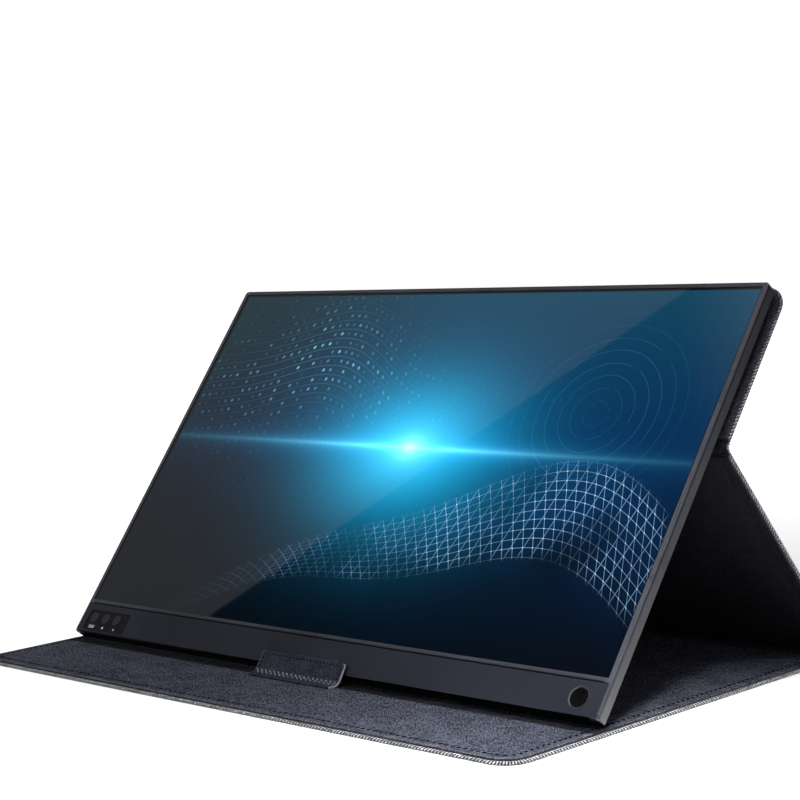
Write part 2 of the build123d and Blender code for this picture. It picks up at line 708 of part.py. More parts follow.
def case_panel(plane, start, end, far_corner, name, magnets=()):
    """Fabric, board and lining of one panel: its outer face lies on the plane."""
    rim_top = FABRIC_T + BOARD_T
    with BuildPart() as fabric:
        with BuildSketch(plane):
            panel_sketch(start, end, 0, far_corner)
        extrude(amount=rim_top)
        with BuildSketch(plane.offset(FABRIC_T)):
            panel_sketch(start, end, RIM_W, far_corner)
        extrude(amount=BOARD_T, mode=Mode.SUBTRACT)
    save(fabric.part, f"{name}_fabric")
    with BuildPart() as board:
        with BuildSketch(plane.offset(FABRIC_T)):
            panel_sketch(start, end, RIM_W + RIM_GAP, far_corner)
        extrude(amount=BOARD_T)
        if magnets:
            with BuildSketch(plane.offset(rim_top)):
                for magnet_x in magnets:
                    with Locations((magnet_x, end - MAGNET_IN)):
                        Rectangle(MAGNET_W + 2 * FIT_GAP, MAGNET_H + 2 * FIT_GAP)
            extrude(amount=-MAGNET_T, mode=Mode.SUBTRACT)
    save(board.part, f"{name}_board")
    with BuildPart() as lining:
        with BuildSketch(plane.offset(rim_top)):
            panel_sketch(start, end, LINING_INSET, far_corner)
        extrude(amount=LINING_T)
    save(lining.part, f"{name}_lining")


# Case panels: front cover on the table, spine, prop and back panel
case_panel(cover_plane, CREASE_HALF, cover_len, CASE_R, "cover", MAGNET_X)
case_panel(spine_plane, spine_setback, spine_len - CREASE_HALF, 0, "spine")
case_panel(prop_plane, FOOT_SETBACK, prop_len - CREASE_HALF, 0, "prop")
case_panel(back_plane, CREASE_HALF, slab_h + CASE_TOP - FOLD_V, CASE_R, "back")

# Magnets in the cover's board, near its free edge
with BuildPart() as cover_magnets:
    with BuildSketch(cover_plane.offset(FABRIC_T + BOARD_T)):
        for magnet_x in MAGNET_X:
            with Locations((magnet_x, cover_len - MAGNET_IN)):
                Rectangle(MAGNET_W, MAGNET_H)
    extrude(amount=-MAGNET_T)
save(cover_magnets.part, "cover_magnets")


def crease(pivot, first, second, first_len, second_len, near, far, name):
    """A folded strip of fabric and lining: two legs from the pivot, near towards the bisector."""
    middle = (first + second).normalized()
    half = radians(first.get_angle(second) / 2)
    first_side = (middle - first * middle.dot(first)).normalized()
    second_side = (middle - second * middle.dot(second)).normalized()
    inner = pivot + middle * (near / sin(half))
    outer = pivot - middle * (far / sin(half))
    points = [
        pivot + first * first_len + first_side * near,
        inner,
        pivot + second * second_len + second_side * near,
        pivot + second * second_len - second_side * far,
        outer,
        pivot + first * first_len - first_side * far,
    ]
    with BuildPart() as strip:
        with BuildSketch(Plane.YZ):
            with BuildLine():
                Polyline([(point.Y, point.Z) for point in points], close=True)
            make_face()
        extrude(amount=case_w / 2 - LINING_INSET, both=True)
        tip = strip.edges().filter_by(Axis.X).sort_by_distance(outer)[0]
        fillet(tip, far)
    save(strip.part, name)


# Creases: flat between cover and spine, folded at the prop's foot and at the back's fold
to_front = Vector(0, -1, 0)
up_prop = Vector(0, -prop_cos, prop_sin)
up_slab = Vector(0, tilt_cos, tilt_sin)
with BuildPart() as spine_crease:
    with BuildSketch(cover_plane):
        Rectangle(case_w - 2 * LINING_INSET, 2 * CREASE_HALF)
    extrude(amount=CREASE_T)
save(spine_crease.part, "spine_crease")
crease(
    Vector(0, rear_y, PIVOT_IN),
    to_front,
    up_prop,
    spine_setback,
    FOOT_SETBACK - CREASE_GAP,
    CREASE_T - PIVOT_IN,
    PIVOT_IN,
    "foot_crease",
)
crease(
    Vector(0, fold_y, fold_z),
    up_slab,
    up_prop * -1,
    CREASE_HALF - CREASE_GAP,
    CREASE_HALF,
    PIVOT_IN,
    CREASE_T - PIVOT_IN,
    "fold_crease",
)

# Stop tab: a strip sewn to the cover's lining and a flap that leans on the chin
lean_cos = cos(radians(TAB_LEAN))
lean_sin = sin(radians(TAB_LEAN))
tab_z = panel_t + TAB_T + TAB_LIFT
tab_y = slab_y - (TAB_T + TAB_CLEAR + (slab_z - tab_z) * lean_cos) / lean_sin
with BuildPart() as tab_strip:
    with BuildSketch(Plane.XY.offset(panel_t)):
        with Locations((0, tab_y - TAB_SEWN)):
            strip_sheet = Rectangle(TAB_W, TAB_SEWN, align=(Align.CENTER, Align.MIN))
        fillet(strip_sheet.vertices().sort_by(Axis.Y)[:2], TAB_T)
    extrude(amount=TAB_T)
save(tab_strip.part, "tab_strip")
flap_plane = Plane(origin=(0, tab_y, tab_z), x_dir=(1, 0, 0), z_dir=(0, -lean_sin, lean_cos))
with BuildPart() as tab_flap:
    with BuildSketch(flap_plane):
        flap_sheet = Rectangle(TAB_W, TAB_FLAP, align=(Align.CENTER, Align.MIN))
        fillet(flap_sheet.vertices().sort_by(Axis.Y)[-2:], TAB_R)
    extrude(amount=-TAB_T)
save(tab_flap.part, "tab_flap")

print("slab", slab_w, slab_h, "case", case_w, "spine", spine_len, "cover", cover_len)
print("slab edge", slab_y, slab_z)
print("fold pivot", fold_y, fold_z, "rear pivot", rear_y, PIVOT_IN, "tab pivot", tab_y, tab_z)
print("prop tilt", prop_tilt, "fold closes by", 180 - TILT - prop_tilt)
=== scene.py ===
from math import cos, hypot, pi, radians, sin, tan

import bpy
from mathutils import Matrix, Vector


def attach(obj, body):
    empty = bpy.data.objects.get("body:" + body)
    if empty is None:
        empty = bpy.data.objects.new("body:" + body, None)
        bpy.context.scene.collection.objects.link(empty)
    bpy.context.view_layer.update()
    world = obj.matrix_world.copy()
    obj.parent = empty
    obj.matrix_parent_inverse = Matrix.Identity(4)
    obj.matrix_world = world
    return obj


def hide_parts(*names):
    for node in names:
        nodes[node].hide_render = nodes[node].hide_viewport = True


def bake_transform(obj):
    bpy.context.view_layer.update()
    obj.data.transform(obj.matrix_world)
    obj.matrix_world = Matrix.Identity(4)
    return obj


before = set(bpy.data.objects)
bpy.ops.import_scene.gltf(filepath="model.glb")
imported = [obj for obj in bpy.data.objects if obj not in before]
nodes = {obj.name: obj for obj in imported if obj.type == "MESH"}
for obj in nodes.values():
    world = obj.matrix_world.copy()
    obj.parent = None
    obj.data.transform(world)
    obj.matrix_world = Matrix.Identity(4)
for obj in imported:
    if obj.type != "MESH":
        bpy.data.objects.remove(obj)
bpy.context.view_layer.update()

# Portable monitor standing in its folding case. The case lies in front, turns up at its
# spine behind, and its upper panel carries the slab. Sizes in this file are millimetres
# unless a name says otherwise. Meshes are made in metres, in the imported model's own place.
MM = 0.001

# Camera: the photograph's view, low and from the right front corner, slightly rolled. Its
# place and lens were solved from the outline of the slab and of the lit screen.
camera_place = Vector((0.69156, -0.69174, 0.20745))
camera_azimuth = Matrix.Rotation(radians(44.602), 4, "Z")
camera_rise = Matrix.Rotation(radians(90 - 4.679), 4, "X")
camera_roll = Matrix.Rotation(radians(-2.598), 4, "Z")


def add_object(name, data):
    """Adds an object to the scene."""
    made = bpy.data.objects.new(name, data)
    bpy.context.scene.collection.objects.link(made)
    return made


lens = bpy.data.cameras.new("photograph_view")
lens.sensor_width = 36
lens.lens = 91.273
lens.clip_start = 0.02
camera = add_object("photograph_view", lens)
camera.matrix_world = Matrix.Translation(camera_place) @ camera_azimuth @ camera_rise @ camera_roll
bpy.context.scene.camera = camera
bpy.context.scene.view_settings.view_transform = "Standard"


# Studio: a pale floor and a white surround at eye level under a dark ceiling, with a lighter
# patch overhead and a dark flag behind on the right. Softboxes light it from the front left,
# the top and the right. The glass mirrors one dim card, but none of the large softboxes.
class Amount:
    """What nodes work out at each point of a surface, so that sums of it read as sums."""

    def __init__(self, socket):
        self.socket = socket
        self.tree = socket.id_data

    def math(self, operation, *others):
        """This amount and others through one Math node."""
        given = dict(enumerate((self, *others)))
        return result(self.tree, "ShaderNodeMath", given, operation=operation)

    def vector(self, operation, *others):
        """This amount and others through one Vector Math node."""
        given = dict(enumerate((self, *others)))
        output = "Value" if operation in ("DOT_PRODUCT", "LENGTH") else "Vector"
        return result(self.tree, "ShaderNodeVectorMath", given, output, operation=operation)

    def part(self, axis):
        """Its X, Y or Z."""
        return result(self.tree, "ShaderNodeSeparateXYZ", {0: self}, axis)

    def __add__(self, other):
        return self.math("ADD", other)

    def __sub__(self, other):
        return self.math("SUBTRACT", other)

    def __rsub__(self, other):
        return self.math("MULTIPLY_ADD", -1.0, other)

    def __mul__(self, other):
        return self.math("MULTIPLY", other)

    def __truediv__(self, other):
        return self.math("DIVIDE", other)


def node(tree, kind, inputs=None, **settings):
    """Adds a node, with its settings and its inputs' values or links."""
    made = tree.nodes.new(kind)
    for name, value in settings.items():
        setattr(made, name, value)
    for name, value in (inputs or {}).items():
        if isinstance(value, Amount):
            value = value.socket
        if isinstance(value, bpy.types.NodeSocket):
            tree.links.new(value, made.inputs[name])
        else:
            made.inputs[name].default_value = value
    return made


def result(tree, kind, inputs=None, output=0, **settings):
    """What a new node gives."""
    return Amount(node(tree, kind, inputs, **settings).outputs[output])


def place_on(tree):
    """The place on the object itself, in metres."""
    return result(tree, "ShaderNodeTexCoord", output="Object")


def seen(tree):
    """1 where a thing is seen straight or through glass, or else 0."""
    path = node(tree, "ShaderNodeLightPath").outputs
    return Amount(path["Is Camera Ray"]).math("MAXIMUM", path["Is Transmission Ray"])


def mix(factor, first, second):
    """The first amount where the factor is 0, the second where it is 1."""
    return result(factor.tree, "ShaderNodeMix", {0: factor, 2: first, 3: second})


def span(value, low, high, to_low=0.0, to_high=1.0, smooth=True):
    """A value's range low to high turned into another, held at both ends."""
    kind = "SMOOTHSTEP" if smooth else "LINEAR"
    inputs = {0: value, 1: low, 2: high, 3: to_low, 4: to_high}
    return result(value.tree, "ShaderNodeMapRange", inputs, interpolation_type=kind, clamp=True)


def shade(red, green, blue):
    """A colour written as it looks on a screen, 0 to 255, as linear light."""
    linear = []
    for level in (red, green, blue):
        part = level / 255
        linear.append(part / 12.92 if part < 0.04045 else ((part + 0.055) / 1.055) ** 2.4)
    return (*linear, 1.0)


def ramp(factor, stops):
    """A colour ramp's result, from (position, colour) stops."""
    made = node(factor.tree, "ShaderNodeValToRGB", {"Fac": factor})
    while len(made.color_ramp.elements) < len(stops):
        made.color_ramp.elements.new(0.5)
    for element, (position, colour) in zip(made.color_ramp.elements, stops):
        element.position = position
        element.color = colour
    return Amount(made.outputs["Color"])


WHITE = (1, 1, 1, 1)
SURROUND_TOP = 0.30
CEILING_FROM = 0.48
CEILING_LEVEL = 0.03
MIRRORED_LEVEL = 0.5
FLAG = (0.7, 0.71, 0.0)
FLAG_RANGE = (0.7, 0.92)
FLAG_LEVEL = 0.05
OVERHEAD = (0.25, -0.2, 0.95)
OVERHEAD_RANGE = (0.62, 0.7)
OVERHEAD_LEVEL = 1.1
AMBIENT_LEVEL = 0.18
world = bpy.data.worlds.new("studio")
bpy.context.scene.world = world
world.use_nodes = True
sky = world.node_tree
sky.nodes.clear()
direction = result(sky, "ShaderNodeTexCoord", output="Generated")
surround = span(direction.part("Z"), SURROUND_TOP, CEILING_FROM, 1.0, CEILING_LEVEL)
flagged = span(direction.vector("DOT_PRODUCT", FLAG), *FLAG_RANGE, MIRRORED_LEVEL, FLAG_LEVEL)
overhead = span(direction.vector("DOT_PRODUCT", OVERHEAD), *OVERHEAD_RANGE, 0.0, OVERHEAD_LEVEL)
glossy = result(sky, "ShaderNodeLightPath", output="Is Glossy Ray")
unseen = mix(glossy, AMBIENT_LEVEL, surround * flagged + overhead)
sky_level = mix(seen(sky), unseen, surround)
backdrop = node(sky, "ShaderNodeBackground", {"Color": WHITE, "Strength": sky_level})
node(sky, "ShaderNodeOutputWorld", {"Surface": backdrop.outputs[0]})

FLOOR_HALF = 4.0
FLOOR_UNDER = 0.0002
FLOOR_GREY = (0.86, 0.86, 0.86, 1)
FLOOR_NEAR = 0.25
FLOOR_FAR = 1.1
FLOOR_LIFT = 0.42
floor_mesh = bpy.data.meshes.new("floor")
floor_corners = [
    (x * FLOOR_HALF, y * FLOOR_HALF, -FLOOR_UNDER) for x, y in ((-1, -1), (1, -1), (1, 1), (-1, 1))
]
floor_mesh.from_pydata(floor_corners, [], [(0, 1, 2, 3)])
floor = add_object("floor", floor_mesh)
floor_paint = bpy.data.materials.new("pale_floor")
floor_paint.use_nodes = True
ground = floor_paint.node_tree
ground.nodes.clear()
paler_away = span(place_on(ground).vector("LENGTH"), FLOOR_NEAR, FLOOR_FAR, FLOOR_LIFT, 1.0)
matt = node(ground, "ShaderNodeBsdfDiffuse", {"Color": FLOOR_GREY})
lift = node(ground, "ShaderNodeEmission", {"Color": WHITE, "Strength": seen(ground) * paler_away})
both = node(ground, "ShaderNodeAddShader", {0: matt.outputs[0], 1: lift.outputs[0]})
node(ground, "ShaderNodeOutputMaterial", {"Surface": both.outputs[0]})
floor_mesh.materials.append(floor_paint)


def softbox(name, place, target, width, height, watts, spread=180.0, edge=None):
    """A rectangular soft lamp turned to a target, its width level or along a given edge."""
    light = bpy.data.lights.new(name, "AREA")
    light.shape = "RECTANGLE"
    light.size = width
    light.size_y = height
    light.energy = watts
    light.spread = radians(spread)
    lamp = add_object(name, light)
    back = (Vector(place) - Vector(target)).normalized()
    right = edge or Vector((0, 0, 1)).cross(back).normalized()
    turn = Matrix((right, back.cross(right), back)).transposed().to_4x4()
    lamp.matrix_world = Matrix.Translation(place) @ turn
    return lamp


unmirrored = (
    softbox("key_softbox", (-0.35, -1.45, 0.95), (0, 0, 0.06), 0.9, 0.7, 15.0),
    softbox("top_softbox", (0.15, -0.35, 1.6), (0, -0.05, 0.05), 0.9, 0.6, 9.0),
    softbox("leather_softbox", (0.34, -0.24, 0.66), (0.21, -0.13, 0), 0.2, 0.12, 0.62, 34.0),
)
for lamp in unmirrored:
    lamp.visible_glossy = False
softbox("side_softbox", (0.62, 0.04, 0.03), (0.176, 0.0, 0.02), 0.2, 0.05, 0.16, 50.0)
CARD_PLACE = Vector((-1.18351, -0.18215, 1.14463))
CARD_AWAY = Vector((-0.73414, -0.24888, 0.63175))
CARD_EDGE = Vector((0.54746, 0.33342, 0.76754))
softbox("mirrored_card", CARD_PLACE, CARD_PLACE - CARD_AWAY, 1.5, 0.6, 0.85, edge=CARD_EDGE)

# Display glass: one sheet of glass over the lit panel, black to its edge outside the lit
# area. The panel shows a cool glow, a woven ribbon of light, faint rings and dotted waves.
SLAB_EDGE = Vector((0, -63.879, 6.839))
UP_SLAB = Vector((0, 0.61015, 0.79229))
SLAB_FRONT = Vector((0, -0.79229, 0.61015))
SLAB_LEAN = radians(52.4)
LIT_WIDTH = 344.2
LIT_HEIGHT = 193.6
LIT_MIDDLE = 116.5
LIT_SHIFT = 0.7


def new_material(name, colour, roughness, others=None):
    """A principled material: returns it, its tree and its shader."""
    made = bpy.data.materials.new(name)
    made.use_nodes = True
    shader = made.node_tree.nodes["Principled BSDF"]
    for label, value in {"Base Color": colour, "Roughness": roughness, **(others or {})}.items():
        shader.inputs[label].default_value = value
    return made, made.node_tree, shader


def feed(shader, name, value):
    """Links an amount into a shader's input."""
    value.tree.links.new(value.socket, shader.inputs[name])


def dress(material, *names):
    """Gives carried-over pieces their material."""
    for name in names:
        mesh = nodes[name].data
        mesh.materials.clear()
        mesh.materials.append(material)


def noise(place, scale, detail=2.0, roughness=0.5, dimensions="3D"):
    """Smooth noise over a place."""
    inputs = {"Vector": place, "Scale": scale, "Detail": detail, "Roughness": roughness}
    return result(place.tree, "ShaderNodeTexNoise", inputs, noise_dimensions=dimensions)


glass, tree, shader = new_material("display_glass", shade(3, 4, 6), 0.02, {"Emission Strength": 1.0})
half_height = LIT_HEIGHT / 2 * MM
lit_middle = (SLAB_EDGE + Vector((LIT_SHIFT, 0, 0)) + UP_SLAB * LIT_MIDDLE) * MM
lay_flat = Matrix.Rotation(-SLAB_LEAN, 3, "X")
onto_screen = {
    "Vector": place_on(tree),
    "Location": -(lay_flat @ lit_middle) / half_height,
    "Rotation": (-SLAB_LEAN, 0, 0),
    "Scale": (1 / half_height,) * 3,
}
placed = result(tree, "ShaderNodeMapping", onto_screen)
across, up = placed.part("X"), placed.part("Y")


def over(picture, colour, amount):
    """The picture with an amount of coloured light laid over it."""
    return amount.vector("MULTIPLY_ADD", shade(*colour)[:3], picture)


def bell(away, width, power):
    """A soft hump: 1 at the middle and falling away on both sides."""
    part = away / width
    return (part * part + 1.0).math("POWER", -power)


def wave(value, rate, phase, height):
    """A sine of the value."""
    return (value * rate + phase).math("SINE") * height


def fine_lines(value, rate, width):
    """Thin bright lines wherever value times rate is whole."""
    near = ((value * rate).math("FRACT") - 0.5).math("ABSOLUTE")
    return span(near, 0.5 - width, 0.5)


def far_from(x, y):
    """How far a point is from a middle."""
    return (x * x + y * y).math("SQRT")


# Ground of the picture: deep navy below, blue-grey above, duller to the left
picture = ramp(
    span(up, -1.0, 1.0, smooth=False),
    [
        (0.0, shade(0, 4, 14)), (0.28, shade(1, 14, 34)),
        (0.6, shade(4, 44, 84)), (1.0, shade(14, 68, 94)),
    ],
)
dulled = ramp(span(across, 0.2, -1.7), [(0.0, WHITE), (1.0, shade(205, 170, 150))])
picture = picture.vector("MULTIPLY", dulled)

# Glow near the middle, with a long flat streak
GLOW_X = 0.03
GLOW_Y = 0.06
GLOW_FLATTER = 0.72
glow_x, glow_y = across - GLOW_X, up - GLOW_Y
glow_r = far_from(glow_x * GLOW_FLATTER, glow_y)
picture = over(picture, (24, 178, 228), bell(glow_r, 1.0, 7.5))
picture = over(picture, (36, 150, 180), bell(glow_r, 0.2, 1.8))
picture = over(picture, (190, 240, 255), bell(glow_r, 0.05, 1.5))
picture = over(picture, (120, 225, 255), bell(glow_y, 0.014, 1.2) * bell(glow_x, 0.7, 1.5))
picture = over(picture, (20, 130, 185), bell(glow_y, 0.07, 1.3) * bell(glow_x, 1.0, 2.0))

# Dotted waves on the upper left: a grid of points on a rolling surface
DOT_ROWS = 17.0
DOT_FILES = 19.0
roll_up = up + wave(across, 2.3, 0.7, 0.16) + wave(across, 5.1, 2.0, 0.05)
roll_side = across + wave(up, 3.0, 0.0, 0.05)
rows, files = roll_up * DOT_ROWS, roll_side * DOT_FILES
dot_r = far_from(files.math("FRACT") - 0.5, rows.math("FRACT") - 0.5)
dot_id = result(tree, "ShaderNodeCombineXYZ", {0: files.math("FLOOR"), 1: rows.math("FLOOR")})
twinkle = result(tree, "ShaderNodeTexWhiteNoise", {"Vector": dot_id}, "Value", noise_dimensions="2D")
dots = span(dot_r, 0.24, 0.08) * twinkle.math("POWER", 2.2)
band = bell(roll_up - 0.42, 0.36, 2.2) * bell(across + 0.95, 0.75, 2.0)
picture = over(picture, (130, 205, 235), dots * band)
picture = over(picture, (60, 120, 150), fine_lines(roll_up, DOT_ROWS, 0.09) * band * 0.5)

# Ribbon of light, woven from three sets of lines, rising from low left to the right edge
ALONG_LINES = 5.5
SKEW_LINES = 17.0
COUNTER_LINES = 13.0
ribbon = up - wave(across, 1.35, 0.35, 0.34) + wave(across, 3.3, 0.4, 0.09) + 0.62
ribbon_part = ribbon / span(across, -1.5, 1.6, 0.05, 0.3)
inside = span(ribbon_part.math("ABSOLUTE"), 1.0, 0.75)
skew = ribbon_part * 0.11 + across
counter = ribbon_part * -0.07 + across
woven = fine_lines(ribbon_part, ALONG_LINES, 0.045)
woven = woven.math("MAXIMUM", fine_lines(skew, SKEW_LINES, 0.045))
woven = woven.math("MAXIMUM", fine_lines(counter, COUNTER_LINES, 0.035))
knots = fine_lines(skew, SKEW_LINES, 0.09) * fine_lines(ribbon_part, ALONG_LINES, 0.09)
fade = span(across, -1.3, 0.9) * span(noise(placed, 2.6), 0.32, 0.62, 0.15, 1.0)
picture = over(picture, (140, 178, 205), woven * inside * fade)
picture = over(picture, (215, 235, 250), knots * inside * fade)
picture = over(picture, (4, 28, 60), bell(ribbon_part, 1.1, 2.0) * fade)

# Faint rings on the right, broken into arcs
RING_X = 1.12
RING_Y = 0.3
RING_LINES = 14.0
ring_x, ring_y = across - RING_X, up - RING_Y
ring_r = far_from(ring_x, ring_y)
ring_step = (ring_r * RING_LINES).math("FLOOR")
arc = wave(ring_step * 1.7 + ring_y.math("ARCTAN2", ring_x), 2.0, 0.0, 1.0)
rings = fine_lines(ring_r, RING_LINES, 0.07) * span(arc, -0.1, 0.3) * bell(ring_r - 0.3, 0.28, 2.0)
picture = over(picture, (40, 110, 160), rings * 0.5)

in_width = across.math("ABSOLUTE").math("LESS_THAN", LIT_WIDTH / LIT_HEIGHT)
in_height = up.math("ABSOLUTE").math("LESS_THAN", 1.0)
feed(shader, "Emission Color", picture.vector("MULTIPLY", in_width * in_height))
dress(glass, "cover_glass")


# Moulded plastics, each part from its own mould. The front frame and the rear shell are
# sprayed with a dark satin paint, the chin cover is satin, the button plate is smooth.
def grain_bump(shader, height, strength, distance):
    """Bends the shader's normal by a height, as relief of a distance."""
    inputs = {"Height": height, "Strength": strength, "Distance": distance * MM}
    feed(shader, "Normal", result(height.tree, "ShaderNodeBump", inputs))


# Heights up the slab over which its sole fades from painted black shade to its own colour
SOLE_TOP = (0.7, 1.1)
SILL_TOP = 19.7
# Levels by height up the frame: painted shade on the lip under the chin and in the groove below the
# sill, and a painted highlight along the sill's top at the glass
SILL_SHADE_AND_HIGHLIGHT = [
    (1.3, 0.2), (1.6, 1.0), (17.2, 1.0), (17.3, 0.5), (18.1, 0.5), (18.25, 0.0), (18.7, 0.0),
    (18.8, 0.25), (19.15, 0.3), (19.3, 0.85),
]
SILL_ENDS = (171.7, 172.4)
FRAME_SIDES = (175.75, 175.9)
# How dark the frame's sides are painted, as painted shade
FRAME_SIDE_SHADE = 0.5


def moulded(
    name, low, high, roughness, grain_size=0.35, depth=0.03, metallic=0.0, gloss=0.5,
    sole=False, sill=False,
):
    """A moulded or rolled finish: two tones of its colour, fine grain and uneven gloss. The
    slab's sole, on which it stands, is painted black as shade and is polished. The sill
    under the screen has painted shade in its groove and a painted highlight along the glass,
    and the lip under the chin and the frame's sides are darkened as painted shade."""
    others = {"Metallic": metallic, "Specular IOR Level": gloss}
    made, tree, shader = new_material(name, shade(*low), roughness, others)
    place = place_on(tree)
    cloud = noise(place, 28.0, 3.0)
    grain = noise(place, 1 / (grain_size * MM))
    colour = ramp(grain * 0.5 + cloud, [(0.45, shade(*low)), (1.05, shade(*high))])
    dull = span(cloud, 0.3, 0.7, roughness - 0.05, roughness + 0.07)
    if sole or sill:
        up_face = place.vector("DOT_PRODUCT", UP_SLAB / MM) - SLAB_EDGE.dot(UP_SLAB)
    # Painted shade: the slab's sole, facing down at the cover, is painted near black and its
    # roughness lowered
    if sole:
        above = span(up_face, *SOLE_TOP)
        colour = colour.vector("MULTIPLY", above * 0.9 + 0.1)
        dull = dull * (above * 0.8 + 0.2)
    # Painted shade and highlight along the sill and lip, and painted shade on the frame's sides;
    # metal rises where the colour is darkened
    if sill:
        out = (place.part("X") / MM).math("ABSOLUTE")
        stops = [(v / SILL_TOP, (level, level, level, 1.0)) for v, level in SILL_SHADE_AND_HIGHLIGHT]
        tone = ramp(span(up_face, 0.0, SILL_TOP), stops)
        kept = 1.0 - span(out, *SILL_ENDS, 1.0, 0.0) * (1.0 - tone)
        kept = kept * span(out, *FRAME_SIDES, 1.0, FRAME_SIDE_SHADE)
        colour = colour.vector("MULTIPLY", kept)
        feed(shader, "Metallic", 1.0 - kept)
    feed(shader, "Base Color", colour)
    feed(shader, "Roughness", dull)
    grain_bump(shader, grain, 0.6, depth)
    return made


dress(
    moulded("frame_paint", (46, 48, 55), (58, 60, 68), 0.28, gloss=0.45, sole=True, sill=True),
    "front_frame",
)
dress(moulded("shell_paint", (24, 25, 30), (34, 36, 42), 0.36, gloss=0.7, sole=True), "rear_shell")
dress(moulded("chin_plastic", (24, 26, 32), (31, 33, 41), 0.42, 0.3, 0.02, gloss=0.16), "chin_cover")
dress(
    moulded("plate_plastic", (11, 11, 14), (16, 16, 20), 0.34, 0.5, 0.01, gloss=0.12),
    "button_plate",
)
dress(
    moulded("button_plastic", (26, 26, 29), (36, 36, 40), 0.4, 0.3, 0.01, gloss=0.2),
    "menu_button_left", "menu_button_middle", "menu_button_right",
)
dress(moulded("power_plastic", (3, 3, 4), (6, 6, 7), 0.4, 0.3, 0.01, gloss=0.04), "power_button")
dress(moulded("bright_ring", (92, 94, 100), (118, 120, 126), 0.34, 0.4, 0.01, 0.9), "power_ring")

# Case cloth: a melange twill of dark warp and pale weft yarns, glued over each stiff
# panel's board and turned in over its edge, where its ribs slant across the edge.
THREAD_PITCH = 0.46
TWILL = 4
WARP_PART = 0.4


def cloth_material():
    """Twill along the cloth's own UV, with yarns that change shade along their length."""
    others = {"Sheen Weight": 0.1, "Sheen Roughness": 0.5, "Specular IOR Level": 0.2}
    made, tree, shader = new_material("case_cloth", shade(96, 97, 104), 0.85, others)
    place = result(tree, "ShaderNodeUVMap", uv_map="cloth")
    yarns = place.vector("MULTIPLY", (1 / (THREAD_PITCH * MM),) * 3)
    warp_at, weft_at = yarns.part("X"), yarns.part("Y")
    warp_id, weft_id = warp_at.math("FLOOR"), weft_at.math("FLOOR")
    on_top = ((warp_id + weft_id) / TWILL).math("FRACT").math("LESS_THAN", WARP_PART)

    def yarn(own, along):
        """One yarn's shade: its own draw, drifting along its length."""
        point = result(tree, "ShaderNodeCombineXYZ", {0: own * 3.7, 1: along * 0.17})
        return noise(point, 1.0, 2.0, 0.7, "2D")

    def arch(at):
        """How high a yarn stands, from side to side."""
        return (at.math("FRACT") * pi).math("SINE")

    warp_shade = yarn(warp_id, weft_at) * 0.5
    weft_shade = yarn(weft_id + 57.3, warp_at) * 0.6 + 0.36
    colour = ramp(
        mix(on_top, weft_shade, warp_shade),
        [
            (0.3, shade(15, 16, 21)), (0.45, shade(38, 39, 46)),
            (0.6, shade(124, 125, 132)), (0.76, shade(218, 218, 224)),
        ],
    )
    # Yarns darker towards their sides: painted shade where they dip under one another; the same arch
    # also bumps the normal
    relief = mix(on_top, arch(weft_at), arch(warp_at))
    feed(shader, "Base Color", colour.vector("MULTIPLY", relief * 0.6 + 0.4))
    grain_bump(shader, relief, 0.7, 0.12)
    return made


case_cloth = cloth_material()

# Case leather: coated leather with a brushed grain lines the panels, glued on over the
# cloth's turned edge. It is pebbled. A painted shadow darkens the cover's leather round
# the place where the slab's foot stands.
PEBBLE = 1.3
STROKE_WIDE = 0.85
STROKE_LONG = 4.6
STROKE_TURN = radians(40)
# Painted shadow of the slab on the cover's leather: its range of y, soft front edge, fade and
# darkness
FOOT_SHADOW = (-68.4, -44.0)
FOOT_SHADOW_EDGE = 0.8
FOOT_SHADOW_FULL = 4.0
FOOT_SHADOW_DARK = 0.85


def leather_material(name, low, high, roughness, gloss=0.15, shadow_span=None):
    """Pebbles crossed by slanting strokes, paler where the leather turns an edge, from
    scuffing with a painted highlight, and darkened by a painted shadow over a range of y
    where the slab's foot stands."""
    made, tree, shader = new_material(name, shade(*low), roughness, {"Specular IOR Level": gloss})
    place = result(tree, "ShaderNodeUVMap", uv_map="cloth")
    pebbles = {"Vector": place, "Scale": 1 / (PEBBLE * MM)}
    inland = result(tree, "ShaderNodeTexVoronoi", pebbles, "Distance", feature="DISTANCE_TO_EDGE")
    pebble = span(inland, 0.0, 0.32)
    stroke = (STROKE_WIDE * MM, STROKE_LONG * MM, 1.0)
    brushed = {"Vector": place, "Rotation": (0, 0, STROKE_TURN), "Scale": stroke}
    strokes = noise(result(tree, "ShaderNodeMapping", brushed, vector_type="TEXTURE"), 1.0, 1.0)
    fine = noise(place, 2600.0)
    cloud = noise(place, 55.0, 4.0, 0.6)
    tone = strokes * 0.6 + (pebble * 0.25 + cloud * 0.25)
    colour = ramp(tone, [(0.42, shade(*low)), (0.64, shade(*high))])
    # Paler along turned edges: scuffing with a painted highlight
    worn_and_lit = result(tree, "ShaderNodeAttribute", output="Fac", attribute_name="worn_and_lit")
    wear_and_highlight = {0: worn_and_lit * 0.4, 6: colour, 7: shade(120, 122, 132)}
    colour = result(tree, "ShaderNodeMix", wear_and_highlight, 2, data_type="RGBA")
    # Painted shadow: darkens the leather over a range of y in front of and under the slab's foot
    if shadow_span:
        ahead, behind = shadow_span
        y = place_on(tree).part("Y")
        in_foot_shadow = span(y, (ahead - FOOT_SHADOW_EDGE) * MM, ahead * MM)
        in_foot_shadow = in_foot_shadow * span(y, behind * MM, (ahead + FOOT_SHADOW_FULL) * MM)
        colour = colour.vector("MULTIPLY", 1.0 - in_foot_shadow * FOOT_SHADOW_DARK)
    feed(shader, "Base Color", colour)
    feed(shader, "Roughness", span(tone, 0.4, 0.7, roughness + 0.08, roughness - 0.08))
    grain_bump(shader, strokes * 1.4 + (fine * 0.25 + pebble), 0.8, 0.2)
    return made


